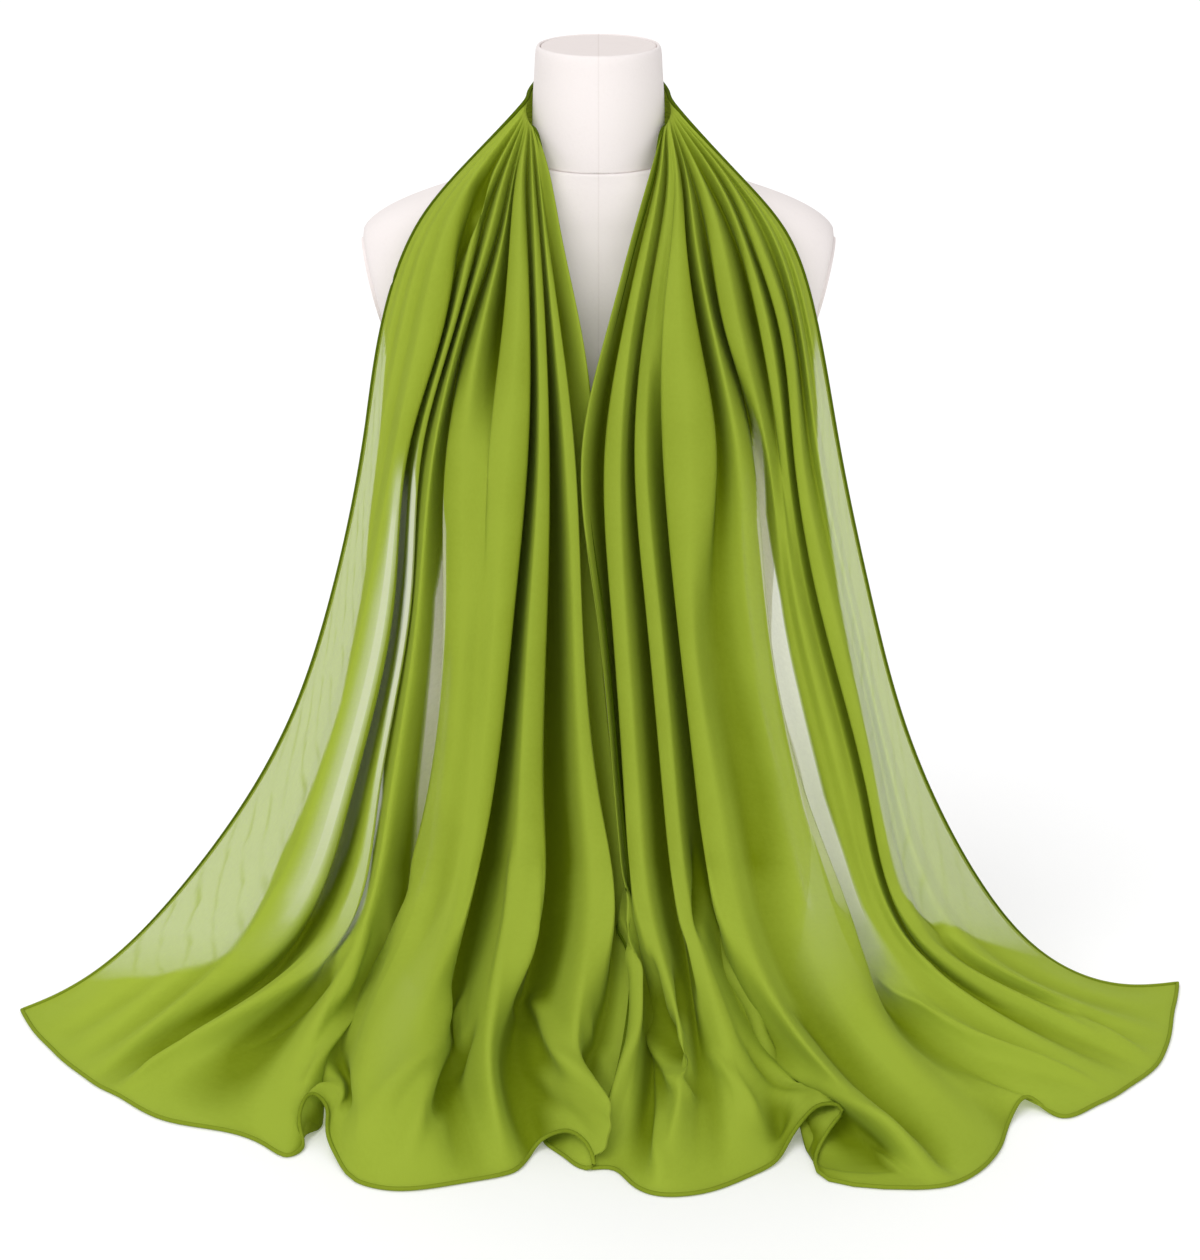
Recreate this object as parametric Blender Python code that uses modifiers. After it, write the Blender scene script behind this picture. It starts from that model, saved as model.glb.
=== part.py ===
"""Chiffon scarf draped round the neck of a limbless dress form.

Metres, +Z up. The origin is the centre of the form's base face. +X is the viewer's right and -Y the front.
The scarf is one rectangle of chiffon, gathered round the nape, with both ends hanging in front and spread
on the surface that the form stands on. Its three stretches are separate solids, parted by a seam gap.
"""

import math

import bpy
import numpy as np

# ---------------------------------------------------------------- driving dimensions
MM = 0.001
COLLECTION = "chiffon_scarf_on_dress_form"

CLOTH_WALL = 1.0 * MM           # the chiffon, thickened to a wall
SEAM_GAP = 0.3 * MM             # between neighbouring pieces
BAND_SEAM = 1.2 * MM            # where a fall meets the gathered band
HEM_CLEARANCE = 0.7 * MM        # middle of the wall above the surface, at the hem

NECK_RADIUS = 49.5 * MM
NECK_FOOT = 662.0 * MM          # height of the seam between torso and neck
NECK_TOP = 748.5 * MM
CAP_SEAT_RADIUS = 43.2 * MM     # the recess in the top of the neck that the cap lies in
CAP_SEAT_DEPTH = 4.0 * MM
CAP_RADIUS = 42.8 * MM
CAP_THICKNESS = 3.0 * MM
CAP_EDGE = 0.5 * MM

TURNED_SIDES = 36
TURNED_MERGE = 0.05 * MM
TORSO_SIDES = 36
TORSO_SQUARENESS = 2.3          # exponent of the torso's super-ellipse sections

ARM_PLATE_WIDTH = 66.0 * MM     # front to back
ARM_PLATE_HEIGHT = 76.0 * MM
ARM_PLATE_THICKNESS = 3.0 * MM
ARM_CUTTER_DEPTH = 60.0 * MM
ARM_CUTTER_WIDTH = 260.0 * MM
ARM_CUTTER_HEIGHT = 138.0 * MM
ARM_PLATE_TILT = math.radians(14.0)
ARM_PLATE_CENTRE = (168.0 * MM, 7.0 * MM, 564.0 * MM)

COLUMNS_PER_LINE = 2            # steps across the cloth from one fold line to the next
SIDE_ROUNDING = 0.62            # exponent of a fall's plan curve, from front to side; 0.5 is an ellipse

# Horizontal sections of the torso, in mm.
#   height, half width, front (towards -Y), back (towards +Y)
TORSO_SECTIONS = (
    (0.0, 150.0, 86.0, 86.0),
    (12.0, 156.0, 90.0, 94.0),
    (50.0, 164.0, 92.0, 108.0),
    (110.0, 168.0, 96.0, 114.0),
    (180.0, 157.0, 90.0, 103.0),
    (255.0, 137.0, 81.0, 83.0),
    (330.0, 135.0, 86.0, 81.0),
    (400.0, 139.0, 98.0, 86.0),
    (455.0, 143.0, 106.0, 92.0),
    (496.0, 147.5, 102.0, 97.0),
    (524.0, 160.0, 95.0, 99.0),
    (551.0, 174.0, 86.0, 98.0),
    (574.0, 182.0, 79.0, 95.0),
    (597.0, 182.0, 70.0, 87.0),
    (606.0, 178.8, 66.8, 82.8),
    (613.0, 174.0, 64.3, 79.3),
    (619.0, 167.0, 62.2, 76.3),
    (626.0, 155.0, 60.2, 73.0),
    (635.0, 133.0, 57.5, 68.0),
    (643.0, 109.0, 55.0, 63.0),
    (650.0, 86.0, 53.0, 58.5),
    (656.0, 66.0, 51.5, 54.5),
    (661.7, 52.5, 50.5, 51.5),
)

# The neck's outer side from its top down, in mm.
#   height below the top, radius less than NECK_RADIUS
NECK_PROFILE = (
    (0.3, 5.6),
    (0.0, 5.0),
    (0.5, 4.1),
    (2.0, 3.3),
    (5.0, 2.7),
    (14.0, 2.1),
    (34.0, 0.9),
    (56.0, 0.1),
    (74.0, -0.2),
    (86.5, -0.8),
)

# The gathered band round the neck, in mm and degrees. Angles run from the back (0) to the side (90) and front.
#   station, inner edge (angle, distance from the neck's axis, height), outer edge (the same), pleat depth,
#   swell of the bundle
BAND_STATIONS = (
    ("nape", (0.0, 54.5, 672.0), (0.0, 55.0, 721.0), 1.3, 9.0),
    ("behind the ear", (45.0, 54.5, 676.0), (41.0, 55.0, 720.0), 1.0, 8.0),
    ("neck side", (86.0, 53.0, 686.0), (76.0, 53.5, 717.5), 0.4, 3.5),
    ("collar", (112.0, 53.0, 689.0), (94.0, 56.0, 710.0), 0.4, 2.5),
)

# Levels of each fall, from the collarbone to the ankle of the skirt, in mm and degrees.
#   level, inner edge (y, z), outer edge (y, z), tilt of the cloth's face from upright
FALL_LEVELS = (
    ("shoulder", (-46.0, 671.0), (-30.0, 668.0), 50.0),
    ("chest", (-88.0, 621.0), (-65.0, 616.0), 25.0),
    ("bust", (-113.0, 567.0), (-78.0, 558.5), 10.0),
    ("ribs", (-131.0, 481.5), (-90.0, 470.0), 0.0),
    ("waist", (-141.0, 361.5), (-90.0, 345.0), 0.0),
    ("knee", (-159.0, 210.0), (-85.0, 182.0), 8.0),
    ("skirt", (-206.0, 125.0), (-72.0, 68.0), 38.0),
)

# Fold lines of each fall, from the inner hem to the outer hem, in mm. A ridge stands proud of the smooth
# surface that carries the folds and a slot lies behind it.
#   line, distance from the centre plane at each of FALL_LEVELS, hem point (x, y, lift),
#   relief at each of RELIEF_LEVELS
RELIEF_LEVELS = ("shoulder", "bust", "waist", "skirt")
LEFT_FOLDS = (
    ("inner hem", (40, 26, 10.5, 7, 1, -14, -23), (-3, -341, 0), (0, 0, -17, -20)),
    ("edge roll", (42.5, 32, 18.5, 12.5, 8, -6, -14), (1, -350, 0), (3.5, 14, -2, -4)),
    ("slot 1", (44.5, 36, 28, 17.5, 12.5, 2, -4), (7, -348, 0), (-3, -9, -14, -14)),
    ("ridge 1", (47, 39, 33, 24.5, 18, 9.5, 5), (16, -346, 26), (3, 9, 14, 14)),
    ("slot 2", (49, 42, 38.5, 35.5, 35, 35.5, 40), (31, -302, 0), (-3, -14, -35, -38)),
    ("ridge 2", (51, 46.5, 44, 43, 48, 55, 62.5), (55, -348, 0), (3, 12, 18, 18)),
    ("slot 3", (53.5, 51, 49.5, 50.5, 60.5, 75, 83), (70, -364, 0), (-3, -15, -33, -34)),
    ("ridge 3", (56, 57.5, 59, 66.5, 75.5, 87, 97), (97, -371, 0), (3.5, 14, 20, 20)),
    ("slot 4", (58.5, 65, 70, 80, 86.5, 98.5, 108.5), (123, -379, 0), (-3.5, -15, 17, 22)),
    ("ridge 4", (61, 70, 84.5, 98.5, 100, 110.5, 123), (152, -383, 0), (3.5, 14, 20, 18)),
    ("slot 5", (64, 74.5, 93.5, 111, 116, 132, 149), (180, -354, 0), (-3.5, -15, -45, -44)),
    ("ridge 5", (67, 81, 98.5, 120, 133.5, 156.5, 178), (192, -315, 0), (3.5, 12, 13, 10)),
    ("slot 6", (69.5, 87, 103, 128, 138.5, 165, 189.5), (198, -297, 14), (-3.5, -13, -10, -8)),
    ("ridge 6", (72.5, 92, 107, 132, 142.5, 171, 199), (209, -288, 28), (3.5, 12, 0, 4)),
    ("slot 7", (76.5, 99.5, 111.5, 138, 151, 186, 226.5), (217, -312, 0), (-3.5, -16, -34, -32)),
    ("shoulder fold", (82, 114, 129, 149, 173, 215.5, 259), (231, -328, 0), (4, 15, 11, 6)),
    ("web 1", (84.5, 121, 137, 156, 180.5, 227.5, 276.5), (252, -308, 0), (3, 7, -5, -16)),
    ("web 2", (86.5, 126, 143, 161.5, 186, 237, 291), (281, -283, 0), (3, 9, -3, -4)),
    ("web 3", (88.5, 130, 148, 165.5, 190, 245.5, 307), (314, -277, 0), (1, 3, -7, -12)),
    ("web 4", (90.5, 133, 152, 168.5, 194, 253.5, 323), (357, -229, 0), (1, 4, -2, -4)),
    ("web 5", (92.5, 136, 155.5, 171, 197.5, 261.5, 338), (408, -167, 0), (0, 0, -3, -5)),
    ("outer hem", (94.5, 138.5, 158.5, 173.5, 201, 269, 353.5), (451, -74, 0), (0, 0, 0, 0)),
)
RIGHT_FOLDS = (
    ("inner hem", (41.5, 23.5, 7, -8.5, -2.5, 12.5, 21), (6, -340, 0), (0, 5, 7, 7)),
    ("edge roll", (43.5, 26.5, 12, -4, 2, 15.5, 25), (14, -354, 0), (3.5, 15, 11, 8)),
    ("slot 1", (45.5, 31, 18.5, 4.5, 8.5, 19, 29.5), (24, -376, 0), (-3, -11, -24, -30)),
    ("ridge 1", (47.5, 37, 25, 16, 19, 29.5, 40), (40, -392, 0), (3, 11, 15, 16)),
    ("slot 2", (49.5, 43.5, 34, 26, 31.5, 45.5, 59.5), (65, -390, 0), (-3, -11, -20, -18)),
    ("ridge 2", (51.5, 48, 40, 34, 44, 58, 70), (88, -381, 0), (3, 2, 15, 18)),
    ("slot 3", (53.5, 52, 46.5, 46, 54.5, 71.5, 87.5), (110, -359, 0), (1.5, 6, -25, -26)),
    ("ridge 3", (55.5, 57.5, 59, 66, 68, 88.5, 105), (127, -339, 0), (3.5, 17, 22, 24)),
    ("slot 4", (59.5, 64, 72, 86.5, 86, 110.5, 126.5), (140, -302, 0), (-3.5, -15, 3, 8)),
    ("ridge 4", (62.5, 70.5, 82, 101.5, 116, 150.5, 170), (150, -297, 16), (3.5, 15, 22, 18)),
    ("slot 5", (66, 79, 90, 113.5, 129.5, 163.5, 192), (164, -290, 28), (-3.5, -15, -42, -40)),
    ("ridge 5", (69.5, 89, 101.5, 122.5, 140, 177.5, 211), (174, -296, 16), (4, 17, -8, -10)),
    ("slot 6", (73, 100, 116, 130.5, 147, 187.5, 220.5), (168, -316, 0), (-3.5, -15, -2, -6)),
    ("ridge 6", (75.5, 105.5, 123, 137, 156, 196.5, 227.5), (165, -342, 0), (3, 11, -10, 0)),
    ("slot 7", (78.5, 110.5, 130.5, 142.5, 163, 203.5, 234), (177, -367, 0), (-3.5, -11, -24, -18)),
    ("ridge 7", (81, 116.5, 137.5, 148.5, 173.5, 211.5, 242.5), (211, -379, 0), (3.5, 13, 4, 8)),
    ("slot 8", (83.5, 124, 142.5, 155, 182, 219.5, 255.5), (250, -378, 0), (-3, -10, -4, -10)),
    ("ridge 8", (86, 129, 147, 161, 189, 228, 271.5), (291, -318, 0), (3, 9, 5, 3)),
    ("web 1", (88, 132.5, 150.5, 165.5, 193, 235.5, 284.5), (313, -262, 8), (1, -3, -3, -8)),
    ("web 2", (89.5, 135.5, 154, 169.5, 197, 242.5, 299), (337, -265, 0), (1, 4, -1, -4)),
    ("web 3", (91, 138, 157, 173.5, 201, 249.5, 313.5), (399, -211, 0), (0, 0, -3, -5)),
    ("outer hem", (92.5, 140.5, 160, 177, 204.5, 257, 325), (460, -22, 0), (0, 0, 0, 0)),
)

# Steps along the cloth between neighbouring stations, from the nape to the hem.
BAND_STEPS = (2, 2)
FALL_STEPS = (1, 2, 2, 2, 2, 2, 2, 3, 4)


# ---------------------------------------------------------------- scene helpers
def clear_scene():
    for old in list(bpy.data.objects):
        bpy.data.objects.remove(old, do_unlink=True)


def make_collection(name):
    collection = bpy.data.collections.new(name)
    bpy.context.scene.collection.children.link(collection)
    return collection


def principled(name, colour, roughness):
    material = bpy.data.materials.new(name)
    material.use_nodes = True
    shader = material.node_tree.nodes["Principled BSDF"]
    shader.inputs["Base Color"].default_value = (*colour, 1.0)
    shader.inputs["Roughness"].default_value = roughness
    shader.inputs["Metallic"].default_value = 0.0
    return material


def add_mesh_object(name, points, faces, material):
    mesh = bpy.data.meshes.new(name)
    mesh.from_pydata(points, [], faces)
    mesh.materials.append(material)
    mesh.shade_smooth()
    body = bpy.data.objects.new(name, mesh)
    PARTS.objects.link(body)
    return body


# ---------------------------------------------------------------- curves
def through(stations, values, wanted):
    """Catmull-Rom curve through values (one row per station), read at the wanted parameters."""
    stations = np.asarray(stations, float)
    values = np.asarray(values, float)
    slopes = np.gradient(values, stations, axis=0)
    span = np.clip(np.searchsorted(stations, wanted, side="right") - 1, 0, len(stations) - 2)
    length = stations[span + 1] - stations[span]
    share = (wanted - stations[span]) / length
    extra = (1,) * (values.ndim - 1)
    share = share.reshape(-1, *extra)
    length = length.reshape(-1, *extra)
    start, end = values[span], values[span + 1]
    leave, arrive = slopes[span] * length, slopes[span + 1] * length
    return (
        (2 * share**3 - 3 * share**2 + 1) * start
        + (share**3 - 2 * share**2 + share) * leave
        + (3 * share**2 - 2 * share**3) * end
        + (share**3 - share**2) * arrive
    )


def scallop(lines, values, across):
    """Values read between fold lines: round over a ridge, and tight in a slot."""
    span = np.clip(across.astype(int), 0, len(lines) - 2)
    share = across - span
    start, end = values[span], values[span + 1]
    rising = end > start
    rounded = np.where(rising, 1.0 - (1.0 - share) ** 2, share**2)
    return start + (end - start) * rounded


# ---------------------------------------------------------------- the scarf
def band_section(station, across, last_line):
    """One upright section of the gathered band, from its lower (inner) hem to its upper (outer) hem."""
    _, inner, outer, depth, swell = station
    share = across / last_line
    angle = np.radians(inner[0] + (outer[0] - inner[0]) * share)
    height = inner[2] + (outer[2] - inner[2]) * share
    pleat = swell * np.sin(np.pi * share) - depth * np.cos(np.pi * across)
    radius = inner[1] + (outer[1] - inner[1]) * share + pleat
    return np.column_stack([radius * np.sin(angle), radius * np.cos(angle), height]) * MM


def fall_section(index, folds, across):
    """One section of a fall: a quarter of a long oval from front to side, with the folds' relief added."""
    _, inner, outer, tilt = FALL_LEVELS[index]
    names = [level[0] for level in FALL_LEVELS]
    known = [names.index(name) for name in RELIEF_LEVELS]
    lines = np.arange(len(folds))
    sideways = np.interp(across, lines, [fold[1][index] for fold in folds])
    reliefs = np.array([np.interp(index, known, fold[3]) for fold in folds])
    relief = scallop(lines, reliefs, across)
    share = (sideways - sideways[0]) / (sideways[-1] - sideways[0])
    towards_side = 1.0 - (1.0 - np.clip(share, 0.0, 1.0) ** 2) ** SIDE_ROUNDING
    depth = inner[0] + (outer[0] - inner[0]) * towards_side
    height = inner[1] + (outer[1] - inner[1]) * towards_side
    tilt = math.radians(tilt)
    depth = depth - relief * math.cos(tilt)
    height = height + relief * math.sin(tilt)
    return np.column_stack([sideways, depth, height]) * MM


def hem_section(folds, across):
    """The hem itself, through the point where each fold line meets the surface."""
    lines = np.arange(len(folds))
    points = np.array([fold[2] for fold in folds], float)
    curve = through(lines, points, across) * MM
    curve[:, 2] = np.maximum(curve[:, 2], 0.0) + HEM_CLEARANCE
    return curve


def scarf_stations(folds, across):
    """All sections of one half of the scarf, from the nape to the hem, laid out on the +X side."""
    last_line = len(folds) - 1
    band = [band_section(station, across, last_line) for station in BAND_STATIONS]
    falls = [fall_section(index, folds, across) for index in range(len(FALL_LEVELS))]
    return np.array([*band, *falls, hem_section(folds, across)])


def station_distances(sections):
    """Mean distance along the cloth to each section."""
    steps = np.linalg.norm(np.diff(sections, axis=0), axis=2).mean(axis=1)
    return np.concatenate([[0.0], np.cumsum(steps)])


def stepped(stations, steps):
    """Parameters from station to station, each stretch cut into its number of steps."""
    pieces = [
        np.linspace(stations[i], stations[i + 1], count, endpoint=False)
        for i, count in enumerate(steps)
    ]
    return np.concatenate([*pieces, stations[len(steps)][None]])


def cloth_object(name, grid, material):
    """An open sheet on a grid of points, thickened to the cloth's wall by a Solidify modifier."""
    rows, columns = grid.shape[:2]
    corner = np.arange(rows * columns).reshape(rows, columns)
    faces = np.stack(
        [corner[:-1, :-1], corner[:-1, 1:], corner[1:, 1:], corner[1:, :-1]], axis=-1
    ).reshape(-1, 4)
    sheet = add_mesh_object(name, grid.reshape(-1, 3).tolist(), faces.tolist(), material)
    wall = sheet.modifiers.new("wall", "SOLIDIFY")
    wall.thickness = CLOTH_WALL
    wall.offset = 0.0
    return sheet


def make_scarf():
    chiffon = principled("green_chiffon", (0.34, 0.45, 0.05), 0.6)
    last_line = len(LEFT_FOLDS) - 1
    across = np.linspace(0.0, last_line, last_line * COLUMNS_PER_LINE + 1)
    band_end = len(BAND_STEPS)
    halves = {}
    for side, folds in ((-1.0, LEFT_FOLDS), (1.0, RIGHT_FOLDS)):
        sections = scarf_stations(folds, across)
        along = station_distances(sections)
        mirror = np.array([side, 1.0, 1.0])
        behind = sections[1] * np.array([-1.0, 1.0, 1.0])
        sections = np.concatenate([behind[None], sections])
        along = np.concatenate([[-along[1]], along])
        fall = stepped(along[band_end + 1 :], FALL_STEPS)
        fall[0] += BAND_SEAM
        band = stepped(along[1:], BAND_STEPS)
        halves[side] = (
            through(along, sections, fall) * mirror,
            through(along, sections, band) * mirror,
        )
    left_fall, left_band = halves[-1.0]
    right_fall, right_band = halves[1.0]
    nape = np.concatenate([left_band[::-1], right_band[1:]])
    cloth_object("scarf_left_fall", left_fall, chiffon)
    cloth_object("scarf_right_fall", right_fall[:, ::-1], chiffon)
    cloth_object("scarf_nape", nape[:, ::-1], chiffon)


# ---------------------------------------------------------------- the dress form
def torso_ring(section):
    """A super-ellipse whose front and back depths differ."""
    height, half_width, front, back = section
    turn = np.linspace(0.0, 2.0 * np.pi, TORSO_SIDES, endpoint=False)
    power = 2.0 / TORSO_SQUARENESS
    sideways = half_width * np.sign(np.cos(turn)) * np.abs(np.cos(turn)) ** power
    depth = np.sign(np.sin(turn)) * np.abs(np.sin(turn)) ** power
    depth = np.where(depth > 0, depth * back, depth * front)
    return np.column_stack([sideways, depth, np.full_like(turn, height)]) * MM


def make_torso(material):
    rings = [torso_ring(section) for section in TORSO_SECTIONS]
    points = np.concatenate(rings).tolist()
    faces = []
    for ring in range(len(rings) - 1):
        low = ring * TORSO_SIDES
        high = low + TORSO_SIDES
        for i in range(TORSO_SIDES):
            j = (i + 1) % TORSO_SIDES
            faces.append((low + i, low + j, high + j, high + i))
    faces.append(tuple(reversed(range(TORSO_SIDES))))
    top = (len(rings) - 1) * TORSO_SIDES
    faces.append(tuple(range(top, top + TORSO_SIDES)))
    return add_mesh_object("form_torso", points, faces, material)


def turned(name, profile, material):
    """A profile (radius, height) from the top of its outer side down, turned about the Z axis."""
    points = [(radius, 0.0, height) for radius, height in profile]
    edges = [(i, i + 1) for i in range(len(points) - 1)]
    mesh = bpy.data.meshes.new(name)
    mesh.from_pydata(points, edges, [])
    mesh.materials.append(material)
    body = bpy.data.objects.new(name, mesh)
    PARTS.objects.link(body)
    screw = body.modifiers.new("turn", "SCREW")
    screw.steps = TURNED_SIDES
    screw.render_steps = TURNED_SIDES
    screw.use_merge_vertices = True
    screw.merge_threshold = TURNED_MERGE
    return body


def make_neck(material):
    """A column with a rolled rim, recessed inside the rim for the cap."""
    side = [(NECK_RADIUS - inset * MM, NECK_TOP - below * MM) for below, inset in NECK_PROFILE]
    seat = NECK_TOP - CAP_SEAT_DEPTH
    recess = [(0.0, seat), (CAP_SEAT_RADIUS, seat)]
    return turned("form_neck", [*recess, *side, (0.0, NECK_FOOT)], material)


def make_cap(material):
    foot = NECK_TOP - CAP_SEAT_DEPTH + SEAM_GAP
    top = foot + CAP_THICKNESS
    profile = (
        (0.0, top),
        (CAP_RADIUS - CAP_EDGE, top),
        (CAP_RADIUS, top - CAP_EDGE),
        (CAP_RADIUS, foot + CAP_EDGE),
        (CAP_RADIUS - CAP_EDGE, foot),
        (0.0, foot),
    )
    return turned("form_neck_cap", profile, material)


def arm_disc(name, thickness, width, height, side):
    """An oval disc whose face looks outwards and down, as the end of a cut-off shoulder does."""
    bpy.ops.mesh.primitive_cylinder_add(vertices=TURNED_SIDES, radius=0.5, depth=1.0)
    disc = bpy.context.object
    disc.name = name
    disc.data.name = name
    for point in disc.data.vertices:
        across, up, out = point.co.x * width, point.co.y * height, point.co.z * thickness
        turn_out = out * math.cos(ARM_PLATE_TILT) + up * math.sin(ARM_PLATE_TILT)
        turn_up = up * math.cos(ARM_PLATE_TILT) - out * math.sin(ARM_PLATE_TILT)
        point.co = (side * turn_out, across, turn_up)
    disc.location = (side * ARM_PLATE_CENTRE[0], ARM_PLATE_CENTRE[1], ARM_PLATE_CENTRE[2])
    if side < 0:
        disc.data.flip_normals()
    for owner in list(disc.users_collection):
        owner.objects.unlink(disc)
    return disc


def make_arm_plates(torso, material):
    """Flattens the ends of the shoulders with a Boolean, then sets an oval plate on each."""
    for side, word in ((-1.0, "left"), (1.0, "right")):
        cutter = arm_disc(
            f"cutter_arm_{word}", ARM_CUTTER_DEPTH, ARM_CUTTER_WIDTH, ARM_CUTTER_HEIGHT, side
        )
        shift = (ARM_CUTTER_DEPTH - ARM_PLATE_THICKNESS) / 2.0 - SEAM_GAP
        cutter.location.x += side * shift * math.cos(ARM_PLATE_TILT)
        cutter.location.z -= shift * math.sin(ARM_PLATE_TILT)
        cutter.hide_render = True
        cutter.display_type = "WIRE"
        CUTTERS.objects.link(cutter)
        cut = torso.modifiers.new(f"arm_{word}", "BOOLEAN")
        cut.operation = "DIFFERENCE"
        cut.object = cutter
        plate = arm_disc(
            f"form_arm_plate_{word}", ARM_PLATE_THICKNESS, ARM_PLATE_WIDTH, ARM_PLATE_HEIGHT, side
        )
        plate.data.materials.append(material)
        PARTS.objects.link(plate)


def make_form():
    linen = principled("white_linen", (0.93, 0.87, 0.86), 0.85)
    cap_white = principled("cap_white", (0.81, 0.74, 0.72), 0.7)
    torso = make_torso(linen)
    make_neck(linen)
    make_cap(cap_white)
    make_arm_plates(torso, linen)


clear_scene()
PARTS = make_collection(COLLECTION)
CUTTERS = make_collection("cutters")
make_form()
make_scarf()
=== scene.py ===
"""Looks of a chiffon scarf draped round the neck of a limbless dress form.

Metres, +Z up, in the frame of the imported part: -Y is the front, where the scarf's ends hang.
"""

import math

import bpy
import numpy as np
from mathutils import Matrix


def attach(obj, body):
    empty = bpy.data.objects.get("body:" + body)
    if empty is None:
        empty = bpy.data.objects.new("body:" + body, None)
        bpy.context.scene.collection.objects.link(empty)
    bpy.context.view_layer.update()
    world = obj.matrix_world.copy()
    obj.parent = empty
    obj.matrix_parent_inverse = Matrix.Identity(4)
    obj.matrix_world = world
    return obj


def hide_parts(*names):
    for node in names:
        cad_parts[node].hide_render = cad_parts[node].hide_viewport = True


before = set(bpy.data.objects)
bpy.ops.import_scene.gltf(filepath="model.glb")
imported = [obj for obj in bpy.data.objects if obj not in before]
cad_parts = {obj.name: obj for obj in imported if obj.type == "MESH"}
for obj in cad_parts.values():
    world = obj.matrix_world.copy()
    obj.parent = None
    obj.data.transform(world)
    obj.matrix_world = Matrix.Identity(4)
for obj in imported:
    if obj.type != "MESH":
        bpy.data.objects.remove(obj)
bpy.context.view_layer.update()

# ---------------------------------------------------------------- camera
# A long lens a little above the form, tilted down so that the hem's whole curve shows. The frame is
# 1200 x 1260, and its centre stands 1.5 px to the right of the lens's axis.
FRAME_HEIGHT_PX = 1260.0
AXIS_OFFSET_PX = 1.5
FOCAL_LENGTH_PX = 4079.0
SENSOR_MM = 36.0
CAMERA_PLACE = (0.0, -3.0, 1.31)
CAMERA_DIP = 18.77              # degrees below level


def placed(name, data):
    """A new object in the scene, at the origin."""
    made = bpy.data.objects.new(name, data)
    bpy.context.scene.collection.objects.link(made)
    return made


lens = bpy.data.cameras.new("camera")
lens.sensor_width = SENSOR_MM
lens.lens = FOCAL_LENGTH_PX * SENSOR_MM / FRAME_HEIGHT_PX
lens.shift_x = AXIS_OFFSET_PX / FRAME_HEIGHT_PX
camera = placed("camera", lens)
camera.location = CAMERA_PLACE
camera.rotation_euler = (math.radians(90.0 - CAMERA_DIP), 0.0, 0.0)
bpy.context.scene.camera = camera

# ---------------------------------------------------------------- scarf
# One rectangle of sheer chiffon, gathered round the nape and hanging in front as two falls that spread on
# the surface. It is one continuous surface, from the left end's hem over the nape to the right end's hem.
SCARF_WIDTH = 0.71
SCARF_LENGTH = 1.83
MM = 0.001                      # the tables are in mm, and what is made from them in metres
HEM_RADIUS = 1.6 * MM           # of the cord that is rolled along the edges
SIDE_ROUNDING = 0.62            # exponent of a fall's plan curve, from front to side; 0.5 is an ellipse
CROWN = 0.10                    # drop of a fold's face before its edge turns, as a share of its depth
# Where a tucked edge starts to turn under, passes the slot's place and starts back, from ridge to slot.
EDGE_TURN, SLOT_PASSED, TUCK_START = 0.52, 0.72, 0.6
CRISP_TUCK = 2.0                # tuck from which an edge is fully crisp, in mm
BACK_UNEVENNESS = 0.4           # how far the band's pleats wander at the back, in fold lines
BACK_RHYTHM = 1.9               # how fast they wander, in radians a line
# The gathered band round the neck, in mm and degrees, from the back (0) to the side (90) and front.
#   station, lower edge (angle, distance from the neck's axis, height), upper edge, pleat depth, swell
BAND_STATIONS = (
    ("nape", (0.0, 54.5, 672.0), (0.0, 55.0, 721.0), 1.6, 9.0),
    ("behind the ear", (45.0, 54.5, 674.0), (41.0, 55.0, 720.0), 1.5, 8.0),
    ("neck side", (86.0, 53.0, 685.0), (76.0, 53.0, 710.0), 0.5, 3.0),
    ("collar", (112.0, 52.8, 690.0), (96.0, 54.5, 706.5), 0.6, 2.0),
)
# Levels of each fall, in mm and degrees.
#   level, inner edge (y, z), outer edge (y, z), tilt of the cloth's face from upright
FALL_LEVELS = (
    ("shoulder", (-46.0, 671.0), (-30.0, 668.0), 50.0),
    ("chest", (-88.0, 621.0), (-65.0, 616.0), 25.0),
    ("bust", (-113.0, 567.0), (-78.0, 558.5), 10.0),
    ("ribs", (-131.0, 481.5), (-90.0, 470.0), 0.0),
    ("waist", (-141.0, 361.5), (-90.0, 345.0), 0.0),
    ("knee", (-159.0, 210.0), (-85.0, 182.0), 8.0),
    ("skirt", (-206.0, 125.0), (-72.0, 68.0), 38.0),
)
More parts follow.
